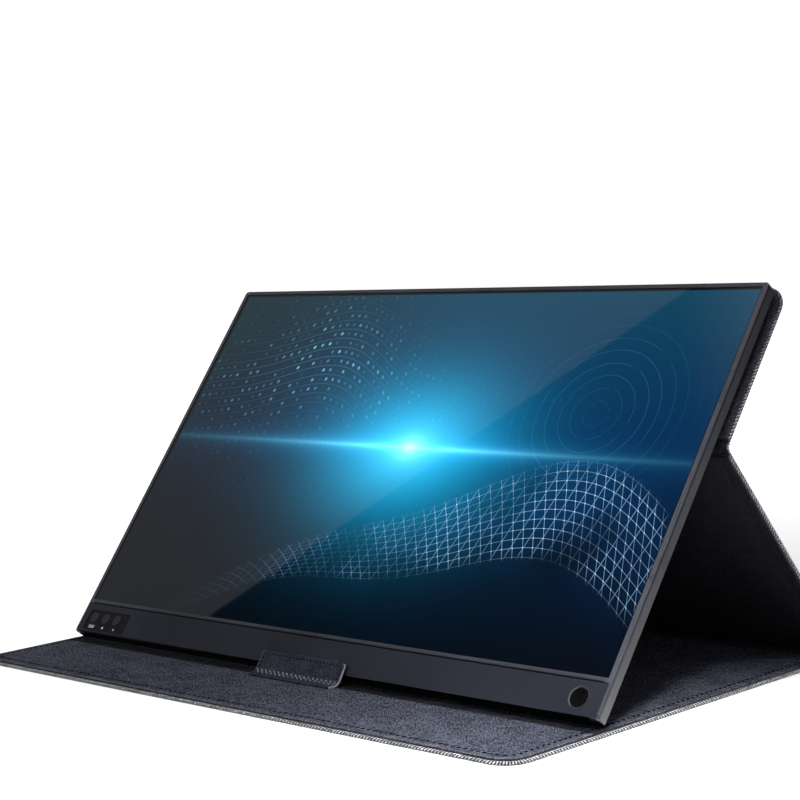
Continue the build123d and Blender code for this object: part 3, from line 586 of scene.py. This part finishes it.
lining_leather = leather_material(
    "lining_leather", (19, 21, 29), (82, 85, 97), 0.65, 0.05, shadow_span=FOOT_SHADOW
)
# The same leather as the lining, in darker copies as painted shade: deep shade inside the case,
# lighter shade on the back panel's margin
inner_leather_deep_shade = leather_material("inner_leather_deep_shade", (19, 19, 24), (33, 33, 40), 0.62, 0.12)
back_leather = leather_material("back_leather", (34, 35, 42), (62, 64, 73), 0.62, 0.12)

# Case panels: cover, spine, prop and back. Each is a board in a tray of cloth, turned in
# round its edge, with a leather lining over it. The loose edges are stitched through.
CASE_HALF = 178.5
PANEL_T = 3.0
CORNER_STEPS = 10
CORNER_LEAST = 0.25
CREASE_SIDE = 1.6


def panel_outline(panel, inset):
    """Points round a panel, an inset in from its edge: its near side first, then its far one."""
    corners = (
        (-1, 1, "start", "near_r", pi),
        (1, 1, "start", "near_r", 1.5 * pi),
        (1, -1, "end", "far_r", 0.0),
        (-1, -1, "end", "far_r", 0.5 * pi),
    )
    points = []
    for side, inwards, edge, radius, turned in corners:
        r = max(panel[radius] - inset, CORNER_LEAST)
        middle_x = side * (CASE_HALF - inset - r)
        middle_v = panel[edge] + inwards * (inset + r)
        for step in range(CORNER_STEPS + 1):
            angle = turned + 0.5 * pi * step / CORNER_STEPS
            points.append((middle_x + r * cos(angle), middle_v + r * sin(angle)))
    return points


def panel_point(panel, x, v, height):
    """A point on a panel: across it, along it and up from its outside."""
    along, outward = panel["ups"]
    return panel["base"] + Vector((x, 0, 0)) + along * v + outward * height


def at_crease(panel, v):
    """Whether a place along a panel is at a side of it that ends in a crease."""
    near, far = panel["creased"]
    return (near and v < panel["start"] + CREASE_SIDE) or (far and v > panel["end"] - CREASE_SIDE)


def finish_mesh(name, vertices, faces, uvs, materials, worn_and_lit=(), sharp=40.0):
    """A smooth-shaded object from points in millimetres, with its cloth UV and its pale edges,
    scuffing with a painted highlight.
    """
    mesh = bpy.data.meshes.new(name)
    mesh.from_pydata([tuple(Vector(point) * MM) for point in vertices], [], faces)
    layer = mesh.uv_layers.new(name="cloth")
    for loop in mesh.loops:
        u, v = uvs[loop.vertex_index]
        layer.data[loop.index].uv = (u * MM, v * MM)
    wear_and_light = mesh.attributes.new("worn_and_lit", "FLOAT", "POINT")
    if worn_and_lit:
        wear_and_light.data.foreach_set("value", worn_and_lit)
    for material in materials:
        mesh.materials.append(material)
    mesh.shade_smooth()
    mesh.set_sharp_from_angle(angle=radians(sharp))
    mesh.update()
    return add_object(name, mesh)


def loop_faces(low, count):
    """Faces from a loop of points, the first of them numbered low, to the loop after it."""
    pairs = [(low + step, low + (step + 1) % count) for step in range(count)]
    return [(here, after, count + after, count + here) for here, after in pairs]


def panel_shell(name, panel, rings, materials):
    """A closed shell of rings round a panel. Each ring is its inset, height, UV reach and edge
    paleness, scuffing with a painted highlight. At a crease there is none."""
    vertices, uvs, worn_and_lit, faces = [], [], [], []
    for inset, height, reach, wear_and_light in rings:
        for (x, v), uv in zip(panel_outline(panel, inset), panel_outline(panel, -reach)):
            vertices.append(panel_point(panel, x, v, height))
            uvs.append(uv)
            worn_and_lit.append(0.0 if at_crease(panel, v) else wear_and_light)
    count = 4 * (CORNER_STEPS + 1)
    for low in range(0, (len(rings) - 1) * count, count):
        faces += loop_faces(low, count)
    faces.append(tuple(reversed(range(count))))
    faces.append(tuple(range(len(vertices) - count, len(vertices))))
    return finish_mesh(name, vertices, faces, uvs, materials, worn_and_lit)


def run_along(points):
    """How far a line of flat points has gone at each of them."""
    gone = [0.0]
    for before, after in zip(points, points[1:]):
        gone.append(gone[-1] + hypot(after[0] - before[0], after[1] - before[1]))
    return gone


def with_reach(profile, wear_and_light_at):
    """Adds to each (inset, height) how far past the panel's edge it lies, and its edge paleness,
    scuffing with a painted highlight.
    """
    edge = next((step for step, (inset, _) in enumerate(profile) if inset <= 0.01), 0)
    gone = run_along(profile)
    rings = []
    for step, (inset, height) in enumerate(profile):
        rings.append((inset, height, gone[step] - gone[edge], wear_and_light_at.get(step, 0.0)))
    return rings


# Cloth tray: flat outside, round edge, up the wall, turned in over the board and glued down
TRAY_R = 0.8
TRAY_STEPS = 5
TURN_IN = 0.3
tray_profile = [(6.0, 0.0), (2.0, 0.0)]
for step in range(TRAY_STEPS + 1):
    angle = 0.5 * pi * step / TRAY_STEPS
    tray_profile.append((TRAY_R * (1 - sin(angle)), TRAY_R * (1 - cos(angle))))
tray_profile += [
    (0.0, 1.15), (0.08, 1.42), (0.3, 1.64), (0.6, 1.75), (1.0, 1.77), (1.05, 0.6), (3.0, 0.6),
]
# Lining: thin rounded edge, rolled margin, a channel where the stitches pull it down
LINING_IN = 0.5
SEAM_IN = 5.2
SEAM_DEPTH = 0.22
lining_profile = [
    (4.0, 2.36), (LINING_IN + 0.5, 2.36), (LINING_IN + 0.3, 2.46), (LINING_IN + 0.22, 2.64),
    (LINING_IN + 0.26, 2.84), (LINING_IN + 0.45, 2.96), (LINING_IN + 0.8, PANEL_T),
    (LINING_IN + 2.2, 3.06), (SEAM_IN - 1.1, 2.98), (SEAM_IN - 0.4, PANEL_T - SEAM_DEPTH),
    (SEAM_IN + 0.4, PANEL_T - SEAM_DEPTH), (SEAM_IN + 1.1, 2.99), (SEAM_IN + 2.4, 3.05),
    (SEAM_IN + 5.0, 3.02), (SEAM_IN + 9.0, PANEL_T),
]
# How pale the lining's rolled edge is, ring by ring: scuffing with a painted highlight
lining_wear_and_light = {3: 0.3, 4: 0.7, 5: 0.5, 6: 0.1}

SPINE_EDGE = Vector((0, 119.95, 0.3))
UP_PROP = Vector((0, -0.64090, 0.76762))
PROP_INWARD = Vector((0, -0.76762, -0.64090))
PANEL_DEPTH = 12.3
FLAT = (Vector((0, 1, 0)), Vector((0, 0, 1)))
panels = {
    "cover": dict(
        base=Vector(), ups=FLAT, start=-120.25, end=102.45, near_r=12.0, far_r=0.8,
        body="base", lining=lining_leather, creased=(False, True),
    ),
    "spine": dict(
        base=Vector(), ups=FLAT, start=107.45, end=114.17, near_r=0.8, far_r=0.8,
        body="base", lining=inner_leather_deep_shade, creased=(True, True),
    ),
    "prop": dict(
        base=SPINE_EDGE - PROP_INWARD * 0.3, ups=(UP_PROP, PROP_INWARD), start=5.0, end=138.5,
        near_r=0.8, far_r=0.8, body="prop", lining=inner_leather_deep_shade, creased=(True, True),
    ),
    "back": dict(
        base=SLAB_EDGE - SLAB_FRONT * PANEL_DEPTH, ups=(UP_SLAB, SLAB_FRONT), start=140.1,
        end=221.8, near_r=0.8, far_r=12.0, body="monitor", lining=back_leather,
        creased=(True, False),
    ),
}
NARROW = 12.0
NARROW_TURN = 1.4
NARROW_LINING = 2.4
for name, panel in panels.items():
    narrow = panel["end"] - panel["start"] < NARROW
    tray_rings = with_reach(tray_profile[1:] if narrow else tray_profile, {})
    if narrow:
        tray_rings[-1] = (NARROW_TURN, *tray_rings[-1][1:])
    tray = panel_shell(name + "_cloth", panel, tray_rings, [case_cloth, inner_leather_deep_shade])
    along, outward = panel["ups"]
    for face in tray.data.polygons:
        from_base = face.center / MM - panel["base"]
        if from_base.dot(outward) > TURN_IN and at_crease(panel, from_base.dot(along)):
            face.material_index = 1
    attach(tray, panel["body"])
    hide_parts(name + "_fabric")
    profile = lining_profile[1:7] + [(NARROW_LINING, PANEL_T)] if narrow else lining_profile
    wear_and_light_at = {step - int(narrow): wear_and_light for step, wear_and_light in lining_wear_and_light.items()}
    rings = with_reach(profile, {} if name == "back" else wear_and_light_at)
    lining = panel_shell(name + "_leather", panel, rings, [panel["lining"]])
    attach(lining, panel["body"])
    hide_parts(name + "_lining")

# Creases: cloth and leather glued together with no board between them, so the case
# can turn. The spine's is flat in a channel; the foot's and the fold's go round a bend.
CREASE_HALF_W = CASE_HALF - 0.15


def crease_strip(name, path):
    """A closed strip across the case from its section: (y, z, which side) round the loop.
    It takes the place of the plain crease of that name."""
    count = len(path)
    sides = (-CREASE_HALF_W, CREASE_HALF_W)
    vertices = [Vector((x, y, z)) for x in sides for y, z, _ in path]
    uvs = [(x, gone) for x in sides for gone in run_along(path)]
    faces = []
    for step in range(count):
        after = (step + 1) % count
        faces.append((step, count + step, count + after, after))
    faces.append(tuple(range(count)))
    faces.append(tuple(reversed(range(count, 2 * count))))
    strip = finish_mesh(name + "_strip", vertices, faces, uvs, [case_cloth, inner_leather_deep_shade])
    for face, (_, _, side) in zip(strip.data.polygons, path):
        face.material_index = side
    layer = strip.data.uv_layers["cloth"].data
    for face in strip.data.polygons[-2:]:
        for loop in face.loop_indices:
            point = strip.data.vertices[strip.data.loops[loop].vertex_index].co
            layer[loop].uv = (point.y, point.z)
    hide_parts(name)
    return strip


BEND_STEPS = 8
BEND_REACH = 0.35


def bend_section(pivot, first, second, first_len, second_len, near, far, near_side):
    """The loop of a folded crease. near_side is 1 where leather lines the hollow, or else 0."""
    middle = (first + second).normalized()
    half = first.angle(second) / 2
    first_side = (middle - first * middle.dot(first)).normalized()
    second_side = (middle - second * middle.dot(second)).normalized()
    inner = pivot + middle * (near / sin(half))
    reach = min(first_len, second_len) * BEND_REACH
    inner_first = inner + first * reach
    inner_second = inner + second * reach
    far_side = 1 - near_side
    loop = [(pivot + first * first_len + first_side * near, near_side)]
    for step in range(BEND_STEPS + 1):
        t = step / BEND_STEPS
        point = inner_first * (1 - t) ** 2 + inner * 2 * t * (1 - t) + inner_second * t * t
        loop.append((point, near_side))
    loop.append((pivot + second * second_len + second_side * near, 1))
    loop.append((pivot + second * second_len - second_side * far, far_side))
    start = -second_side
    sweep = start.angle(-first_side)
    axis = start.cross(-first_side).normalized()
    for step in range(BEND_STEPS + 1):
        turned = Matrix.Rotation(sweep * step / BEND_STEPS, 3, axis) @ start
        loop.append((pivot + turned * far, far_side))
    loop.append((pivot + first * first_len - first_side * far, 1))
    return [(point.y, point.z, side) for point, side in loop]


CHANNEL_START = panels["cover"]["end"]
CHANNEL_END = panels["spine"]["start"]
CHANNEL_TOP = 1.5
CHANNEL_SAG = 0.35
CHANNEL_STEPS = 8
spine_section = [(CHANNEL_START, 0.0, 0), (CHANNEL_END, 0.0, 0), (CHANNEL_END, CHANNEL_TOP, 1)]
for step in range(1, CHANNEL_STEPS):
    part = step / CHANNEL_STEPS
    y = CHANNEL_END - (CHANNEL_END - CHANNEL_START) * part
    spine_section.append((y, CHANNEL_TOP - CHANNEL_SAG * sin(pi * part), 1))
spine_section.append((CHANNEL_START, CHANNEL_TOP, 1))
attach(crease_strip("spine_crease", spine_section), "base")

TO_FRONT = Vector((0, -1, 0))
foot_section = bend_section(
    SPINE_EDGE, TO_FRONT, UP_PROP, first_len=5.78, second_len=5.0, near=1.1, far=0.3, near_side=1
)
foot_strip = crease_strip("foot_crease", foot_section)
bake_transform(foot_strip)

FOLD = Vector((0, 29.584, 108.536))
fold_section = bend_section(
    FOLD, UP_SLAB, -UP_PROP, first_len=2.5, second_len=2.5, near=0.3, far=1.1, near_side=0
)
fold_strip = crease_strip("fold_crease", fold_section)
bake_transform(fold_strip)

# Stop tab: one piece of the lining's leather, cut with round corners, its edges painted
# and polished, with a painted highlight on the edge paint at both ends. Its foot is sewn
# flat to the cover, and the rest leans against the chin.
TAB_HALF = 28.5
TAB_T = 1.2
TAB_FRONT = -73.24
TAB_TOP_Z = 4.2
TAB_BEND = 4.5
TAB_REACH = 11.178
TAB_LEAN = radians(57.5)
TAB_TOP_R = 2.8
TAB_FOOT_R = 1.4
TAB_EDGE = 0.45
HIGHLIGHT_END = 1.0
up_tab = Vector((0, cos(TAB_LEAN), sin(TAB_LEAN)))
tab_corner = Vector((0, -67.932, TAB_TOP_Z))
bend_reach = TAB_BEND * tan(TAB_LEAN / 2)
foot_length = tab_corner.y - bend_reach - TAB_FRONT
bend_length = TAB_BEND * TAB_LEAN
tab_length = foot_length + bend_length + TAB_REACH - bend_reach


def tab_surface(along, depth):
    """The tab's point at a length along it, and at a depth under its front face."""
    if along <= foot_length:
        return Vector((0, TAB_FRONT + along, TAB_TOP_Z - depth))
    middle = Vector((0, TAB_FRONT + foot_length, TAB_TOP_Z + TAB_BEND))
    angle = min(along - foot_length, bend_length) / TAB_BEND
    past_bend = max(along - foot_length - bend_length, 0.0)
    return middle + Vector((0, sin(angle), -cos(angle))) * (TAB_BEND + depth) + up_tab * past_bend


def tab_half_width(along, inset):
    """Half the tab's width there, with its corners rounded, an inset in from its edge."""
    for gone, radius in ((along, TAB_FOOT_R), (tab_length - along, TAB_TOP_R)):
        if gone < radius:
            r = radius - inset
            rest = max(r * r - (radius - gone) ** 2, 0.0)
            return TAB_HALF - radius + rest ** 0.5
    return TAB_HALF - inset


COLUMNS = 24
FOOT_ROWS = 6
MIDDLE_ROWS = 18
TOP_ROWS = 8
tab_rows = [TAB_FOOT_R * (1 - cos(0.5 * pi * step / FOOT_ROWS)) for step in range(FOOT_ROWS + 1)]
for step in range(1, MIDDLE_ROWS):
    tab_rows.append(TAB_FOOT_R + (tab_length - TAB_FOOT_R - TAB_TOP_R) * step / MIDDLE_ROWS)
for step in range(TOP_ROWS + 1):
    tab_rows.append(tab_length - TAB_TOP_R * (1 - sin(0.5 * pi * step / TOP_ROWS)))


def tab_grid(inset, depth):
    """Rows of points over the tab: each has its place and its cloth UV."""
    rows = []
    for along in tab_rows:
        kept = inset + along * (tab_length - 2 * inset) / tab_length
        half = tab_half_width(kept, inset)
        row = []
        for column in range(COLUMNS + 1):
            x = half * (2 * column / COLUMNS - 1)
            row.append((tab_surface(kept, depth) + Vector((x, 0, 0)), (x, kept)))
        rows.append(row)
    return rows


tab_vertices, tab_uvs, tab_wear_and_light, tab_faces = [], [], [], []


def add_point(point, uv, wear_and_light):
    """Adds one point of the tab, and returns its number."""
    tab_vertices.append(point)
    tab_uvs.append(uv)
    tab_wear_and_light.append(wear_and_light)
    return len(tab_vertices) - 1


def add_grid(grid, flipped):
    """Adds one side of the tab, and returns its points' numbers row by row."""
    numbers = [[add_point(point, uv, 0.0) for point, uv in row] for row in grid]
    for low, high in zip(numbers, numbers[1:]):
        for column in range(COLUMNS):
            face = (low[column], low[column + 1], high[column + 1], high[column])
            tab_faces.append(tuple(reversed(face)) if flipped else face)
    return numbers


last_row = len(tab_rows) - 1
edge_loop = [(0, column) for column in range(COLUMNS + 1)]
edge_loop += [(row, COLUMNS) for row in range(1, last_row + 1)]
edge_loop += [(last_row, column) for column in range(COLUMNS - 1, -1, -1)]
edge_loop += [(row, 0) for row in range(last_row - 1, 0, -1)]
front_side = add_grid(tab_grid(TAB_EDGE, 0.0), False)
back_side = add_grid(tab_grid(TAB_EDGE, TAB_T), True)
side_faces = len(tab_faces)
edge_rings = [[front_side[row][column] for row, column in edge_loop]]
EDGE_STEPS = 5
for step in range(1, EDGE_STEPS):
    angle = pi * step / EDGE_STEPS
    grid = tab_grid(TAB_EDGE * (1 - sin(angle)), TAB_T * (1 - cos(angle)) / 2)
    edge_rings.append([add_point(*grid[row][column], 1.0) for row, column in edge_loop])
edge_rings.append([back_side[row][column] for row, column in edge_loop])
for ring, below in zip(edge_rings, edge_rings[1:]):
    for step in range(len(edge_loop)):
        after = (step + 1) % len(edge_loop)
        tab_faces.append((ring[after], ring[step], below[step], below[after]))
# The tab's leather is a darker copy of the lining's, as painted shade
tab_leather = leather_material("tab_leather", (17, 18, 27), (39, 41, 55), 0.5, 0.2)
edge_paint = moulded("tab_edge_paint", (20, 21, 27), (34, 36, 44), 0.25, 0.5, 0.02)
# Light edge paint for the tab's ends: a painted highlight
edge_highlight_paint = moulded("tab_edge_highlight", (96, 98, 108), (140, 142, 152), 0.3, 0.5, 0.02)
tab = finish_mesh(
    "stop_tab", tab_vertices, tab_faces, tab_uvs, [tab_leather, edge_paint, edge_highlight_paint], tab_wear_and_light, 60.0
)
# Edge faces near either end take the painted highlight; the rest take the dark edge paint
for face in tab.data.polygons[side_faces:]:
    at_end = abs(face.center.x) > (TAB_HALF - HIGHLIGHT_END) * MM
    face.material_index = 2 if at_end else 1
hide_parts("tab_strip", "tab_flap")
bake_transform(tab)


# Stitches: a heavy thread, locked at each hole, so each stitch is a short plump bar
# that dips into the leather at its ends. They run inside each free edge and round the tab.
UNEVEN_SLANT = 0.08


def stitch_tree():
    """Geometry nodes: a stitch at each pitch along the object's edges."""
    made = bpy.data.node_groups.new("sewn_row", "GeometryNodeTree")
    made.is_modifier = True
    kinds = {
        "Path": "Geometry", "Pitch": "Float", "Stitch length": "Float", "Thread width": "Float",
        "Thread height": "Float", "Slant": "Float", "Surface normal": "Vector",
        "Thread": "Material", "Seed": "Int",
    }
    for label, kind in kinds.items():
        made.interface.new_socket(label, in_out="INPUT", socket_type="NodeSocket" + kind)
    made.interface.new_socket("Stitches", in_out="OUTPUT", socket_type="NodeSocketGeometry")
    given = made.nodes.new("NodeGroupInput").outputs
    path = result(made, "GeometryNodeMeshToCurve", {"Mesh": given["Path"]})
    lengths = {"Curve": path, "Length": given["Pitch"]}
    holes = result(made, "GeometryNodeResampleCurve", lengths, mode="LENGTH")
    tangent = result(made, "GeometryNodeInputTangent")
    align = "FunctionNodeAlignRotationToVector"
    along = result(made, align, {"Vector": tangent}, axis="X")
    upwards = {"Rotation": along, "Vector": given["Surface normal"]}
    standing = result(made, align, upwards, axis="Z", pivot_axis="X")
    draws = {2: -UNEVEN_SLANT, 3: UNEVEN_SLANT, "Seed": given["Seed"]}
    uneven = result(made, "FunctionNodeRandomValue", draws, 1, data_type="FLOAT")
    lean = result(made, "ShaderNodeCombineXYZ", {"Z": Amount(given["Slant"]) + uneven})
    slanting = {"Rotation": standing, "Rotate By": lean}
    turned = result(made, "FunctionNodeRotateRotation", slanting, rotation_space="LOCAL")
    sides = {0: given["Stitch length"], 1: given["Thread width"], 2: given["Thread height"]}
    size = result(made, "ShaderNodeCombineXYZ", sides)
    bar = result(made, "GeometryNodeMeshUVSphere", {"Segments": 8, "Rings": 6, "Radius": 0.5}, "Mesh")
    laying = {"Points": holes, "Instance": bar, "Rotation": turned, "Scale": size}
    laid = result(made, "GeometryNodeInstanceOnPoints", laying)
    real = result(made, "GeometryNodeRealizeInstances", {"Geometry": laid})
    rounded = result(made, "GeometryNodeSetShadeSmooth", {"Geometry": real})
    finished = {"Geometry": rounded, "Material": given["Thread"]}
    sewn = result(made, "GeometryNodeSetMaterial", finished)
    node(made, "NodeGroupOutput", {"Stitches": sewn})
    return made


def thread_material(name, low, high, gloss=0.25):
    """Twisted polyester thread: fine slanting plies, with painted shade between them."""
    made, tree, shader = new_material(name, shade(*low), 0.6, {"Specular IOR Level": gloss})
    twist = {"Vector": place_on(tree), "Scale": 1100.0, "Distortion": 2.0, "Detail": 1.0}
    plies = result(tree, "ShaderNodeTexWave", twist, "Fac", bands_direction="DIAGONAL")
    feed(shader, "Base Color", ramp(plies, [(0.2, shade(*low)), (0.9, shade(*high))]))
    grain_bump(shader, plies, 0.5, 0.05)
    return made


dark_thread = thread_material("dark_thread", (3, 3, 5), (10, 10, 13), 0.0)
grey_thread = thread_material("grey_thread", (50, 51, 58), (96, 97, 105))
tab_thread = thread_material("tab_thread", (74, 76, 86), (136, 138, 148))
sewing = stitch_tree()


def stitch_size(pitch, length, width, height, slant):
    """The sewing's inputs for one kind of stitch, its slant in radians."""
    sizes = {"Pitch": pitch, "Stitch length": length, "Thread width": width, "Thread height": height}
    return {**{label: size * MM for label, size in sizes.items()}, "Slant": slant}


LONG_STITCH = stitch_size(pitch=3.4, length=2.5, width=1.2, height=0.4, slant=0.9)
TAB_STITCH = stitch_size(pitch=2.9, length=2.3, width=0.8, height=0.36, slant=-0.7)
FINE_STITCH = stitch_size(pitch=2.2, length=1.5, width=0.5, height=0.34, slant=-0.4)


def sew(name, points, normal, thread, body, seed, stitch):
    """A row of stitches along points, as a plain mesh that rides on a body if one is given."""
    path = bpy.data.meshes.new(name + "_path")
    edges = [(step, step + 1) for step in range(len(points) - 1)]
    path.from_pydata([tuple(point * MM) for point in points], edges, [])
    guide = add_object(name + "_path", path)
    modifier = guide.modifiers.new("sewing", "NODES")
    modifier.node_group = sewing
    values = {**stitch, "Surface normal": tuple(normal), "Thread": thread, "Seed": seed}
    for item in sewing.interface.items_tree:
        if item.in_out == "INPUT" and item.name in values:
            modifier[item.identifier] = values[item.name]
    bpy.context.view_layer.update()
    graph = bpy.context.evaluated_depsgraph_get()
    mesh = bpy.data.meshes.new_from_object(guide.evaluated_get(graph), depsgraph=graph)
    bpy.data.objects.remove(guide)
    mesh.name = name
    row = add_object(name, mesh)
    if body:
        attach(row, body)
    return row


STITCH_RISE = 0.07
SEAM_HEIGHT = PANEL_T - SEAM_DEPTH + STITCH_RISE
SEAM_STOP = 2.0


def seam_path(panel, at_far_end):
    """Points of a panel's seam round its free end, left open at its crease."""
    outline = panel_outline(panel, SEAM_IN)
    half = len(outline) // 2
    corners = outline[half:] if at_far_end else outline[:half]
    stop = panel["start"] + SEAM_STOP if at_far_end else panel["end"] - SEAM_STOP
    flat = [(corners[0][0], stop), *corners, (corners[-1][0], stop)]
    return [panel_point(panel, x, v, SEAM_HEIGHT) for x, v in flat]


sew(
    "cover_stitches", seam_path(panels["cover"], False), Vector((0, 0, 1)),
    dark_thread, "base", 3, LONG_STITCH,
)
sew(
    "back_stitches", seam_path(panels["back"], True), SLAB_FRONT,
    grey_thread, "monitor", 5, FINE_STITCH,
)
prop = panels["prop"]
for side, label in ((-1, "left"), (1, "right")):
    x = side * (CASE_HALF - SEAM_IN)
    stops = (prop["start"] + SEAM_STOP, prop["end"] - SEAM_STOP)
    ends = [panel_point(prop, x, v, SEAM_HEIGHT) for v in stops]
    sew(
        "prop_stitches_" + label, ends, PROP_INWARD,
        dark_thread, "prop", 7 + side, FINE_STITCH,
    )

TAB_SEAM = 2.1
TAB_SEAM_STEPS = 6
SEAM_ROUNDER = 0.6
FLAP_START = 0.2


def tab_line(points):
    """Points on the tab's front face, from (x, length along it)."""
    return [tab_surface(along, -STITCH_RISE) + Vector((x, 0, 0)) for x, along in points]


flap_low = foot_length + bend_length + FLAP_START
seam_half = TAB_HALF - TAB_SEAM
seam_r = TAB_TOP_R - TAB_SEAM + SEAM_ROUNDER
round_seam = [(-seam_half, flap_low)]
for side, turned in ((-1, pi), (1, 0.5 * pi)):
    middle_x = side * (seam_half - seam_r)
    middle_v = tab_length - TAB_SEAM - seam_r
    for step in range(TAB_SEAM_STEPS + 1):
        angle = turned - 0.5 * pi * step / TAB_SEAM_STEPS
        round_seam.append((middle_x + seam_r * cos(angle), middle_v + seam_r * sin(angle)))
round_seam.append((seam_half, flap_low))
sew(
    "tab_edge_stitches", tab_line(round_seam), Vector((0, -sin(TAB_LEAN), cos(TAB_LEAN))),
    dark_thread, "tab", 11, FINE_STITCH,
)
for label, past_foot, shift in (("upper", 2.7, 0.0), ("lower", 1.2, 1.7)):
    along = foot_length + past_foot
    angle = past_foot / TAB_BEND
    row = sew(
        "tab_stitches_" + label, tab_line([(shift - seam_half, along), (seam_half, along)]),
        Vector((0, -sin(angle), cos(angle))), tab_thread, None, 13, TAB_STITCH,
    )
    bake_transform(row)

# Marks under the menu buttons: plain strokes of white ink, pad-printed on the plate. They
# are a list sign, a diamond and a dot.
MARK_RISE = 0.02
MARK_DEPTH = 0.32
MARK_V = 4.2
LIST_X = -164.9
DIAMOND_X = -155.7
DOT_X = -146.5
white_print = moulded("white_print", (150, 150, 152), (190, 190, 192), 0.5, 0.2, 0.01)


def slab_point(x, v, depth):
    """A point on the slab: across, up its face, and behind its front plane."""
    return SLAB_EDGE + Vector((x, 0, 0)) + UP_SLAB * v - SLAB_FRONT * depth


def mark_mesh(name, shapes):
    """Thin printed shapes on the button plate, each a flat outline."""
    vertices, faces = [], []
    for outline in shapes:
        count = len(outline)
        first = len(vertices)
        for depth in (MARK_DEPTH, MARK_DEPTH - 2 * MARK_RISE):
            vertices += [slab_point(x, v, depth) for x, v in outline]
        faces.append(tuple(reversed(range(first, first + count))))
        faces.append(tuple(range(first + count, first + 2 * count)))
        faces += loop_faces(first, count)
    mark = finish_mesh(name, vertices, faces, [(0.0, 0.0)] * len(vertices), [white_print])
    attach(mark, "monitor")


def bar_outline(x, v, half_w, half_h):
    """A plain bar."""
    turns = ((-1, -1), (1, -1), (1, 1), (-1, 1))
    return [(x + right * half_w, v + above * half_h) for right, above in turns]


def regular_outline(x, v, radius, sides):
    """A regular outline with a corner at its top."""
    angles = [pi / 2 + 2 * pi * step / sides for step in range(sides)]
    return [(x + radius * cos(angle), v + radius * sin(angle)) for angle in angles]


mark_mesh("list_mark", [bar_outline(LIST_X, MARK_V + rise, 2.2, 0.17) for rise in (-0.6, 0.0, 0.6)])
mark_mesh("diamond_mark", [regular_outline(DIAMOND_X, MARK_V, 0.9, 4)])
mark_mesh("dot_mark", [regular_outline(DOT_X, MARK_V, 0.5, 16)])


# Inside the slab, out of sight: the display stack lies in a metal tray, with boards, cells
# and speakers fixed behind it, and sheet-metal sockets open through the shell's left side.
def board_material():
    """Green solder mask over copper tracks on a glass board."""
    mask = shade(18, 62, 44)
    made, tree, shader = new_material("circuit_board", mask, 0.35)
    place = place_on(tree)
    tracks = {
        "Vector": place, "Color1": mask, "Color2": shade(24, 78, 54),
        "Mortar": shade(92, 128, 84), "Scale": 260.0, "Mortar Size": 0.018,
    }
    feed(shader, "Base Color", result(tree, "ShaderNodeTexBrick", tracks, "Color"))
    grain_bump(shader, noise(place, 900.0), 0.3, 0.02)
    return made


circuit_board = board_material()
dress(circuit_board, "main_board", "button_board", "power_board")
# The pieces of each finish, then its low and high colour, roughness, grain and metal
inner_finishes = {
    "shield_metal": ("shield_cans", (168, 170, 172), (196, 198, 200), 0.3, 0.8, 0.02, 1.0),
    "tray_metal": (
        "backlight_tray chassis_plate", (140, 142, 145), (170, 172, 175), 0.36, 0.6, 0.02, 1.0,
    ),
    "socket_metal": (
        "usb_sockets hdmi_socket", (150, 152, 156), (186, 188, 192), 0.24, 0.4, 0.01, 1.0,
    ),
    "screw_steel": ("chassis_screws board_screws", (60, 61, 64), (92, 93, 97), 0.32, 0.3, 0.01, 1.0),
    "magnet_steel": ("cover_magnets", (150, 150, 152), (182, 182, 184), 0.28, 0.6, 0.01, 1.0),
    "panel_glass": ("touch_sensor lcd_cell", (16, 18, 22), (26, 28, 34), 0.12, 2.0, 0.002),
    "guide_plastic": ("light_guide", (206, 212, 214), (232, 236, 238), 0.2, 1.0, 0.01),
    "led_strip": ("led_bar", (220, 216, 190), (240, 238, 222), 0.4, 0.8, 0.01),
    "switch_plastic": (
        "menu_switches power_switch audio_jack", (30, 30, 32), (44, 44, 47), 0.4, 0.3, 0.01,
    ),
    "battery_wrap": ("battery_left battery_right", (52, 56, 64), (74, 79, 88), 0.34, 3.0, 0.08),
    "speaker_plastic": ("speaker_left speaker_right", (26, 26, 28), (38, 38, 40), 0.5, 0.4, 0.03),
    "pad_rubber": ("adhesive_pads", (22, 22, 23), (34, 34, 35), 0.7, 0.6, 0.04),
    # The case boards are kept near black as painted shade, for the gap under the lining's edge where
    # they show
    "case_board": (
        "cover_board spine_board prop_board back_board", (12, 12, 14), (20, 20, 22), 0.8, 0.8, 0.05,
    ),
}
for finish, (pieces, *values) in inner_finishes.items():
    dress(moulded(finish, *values), *pieces.split())
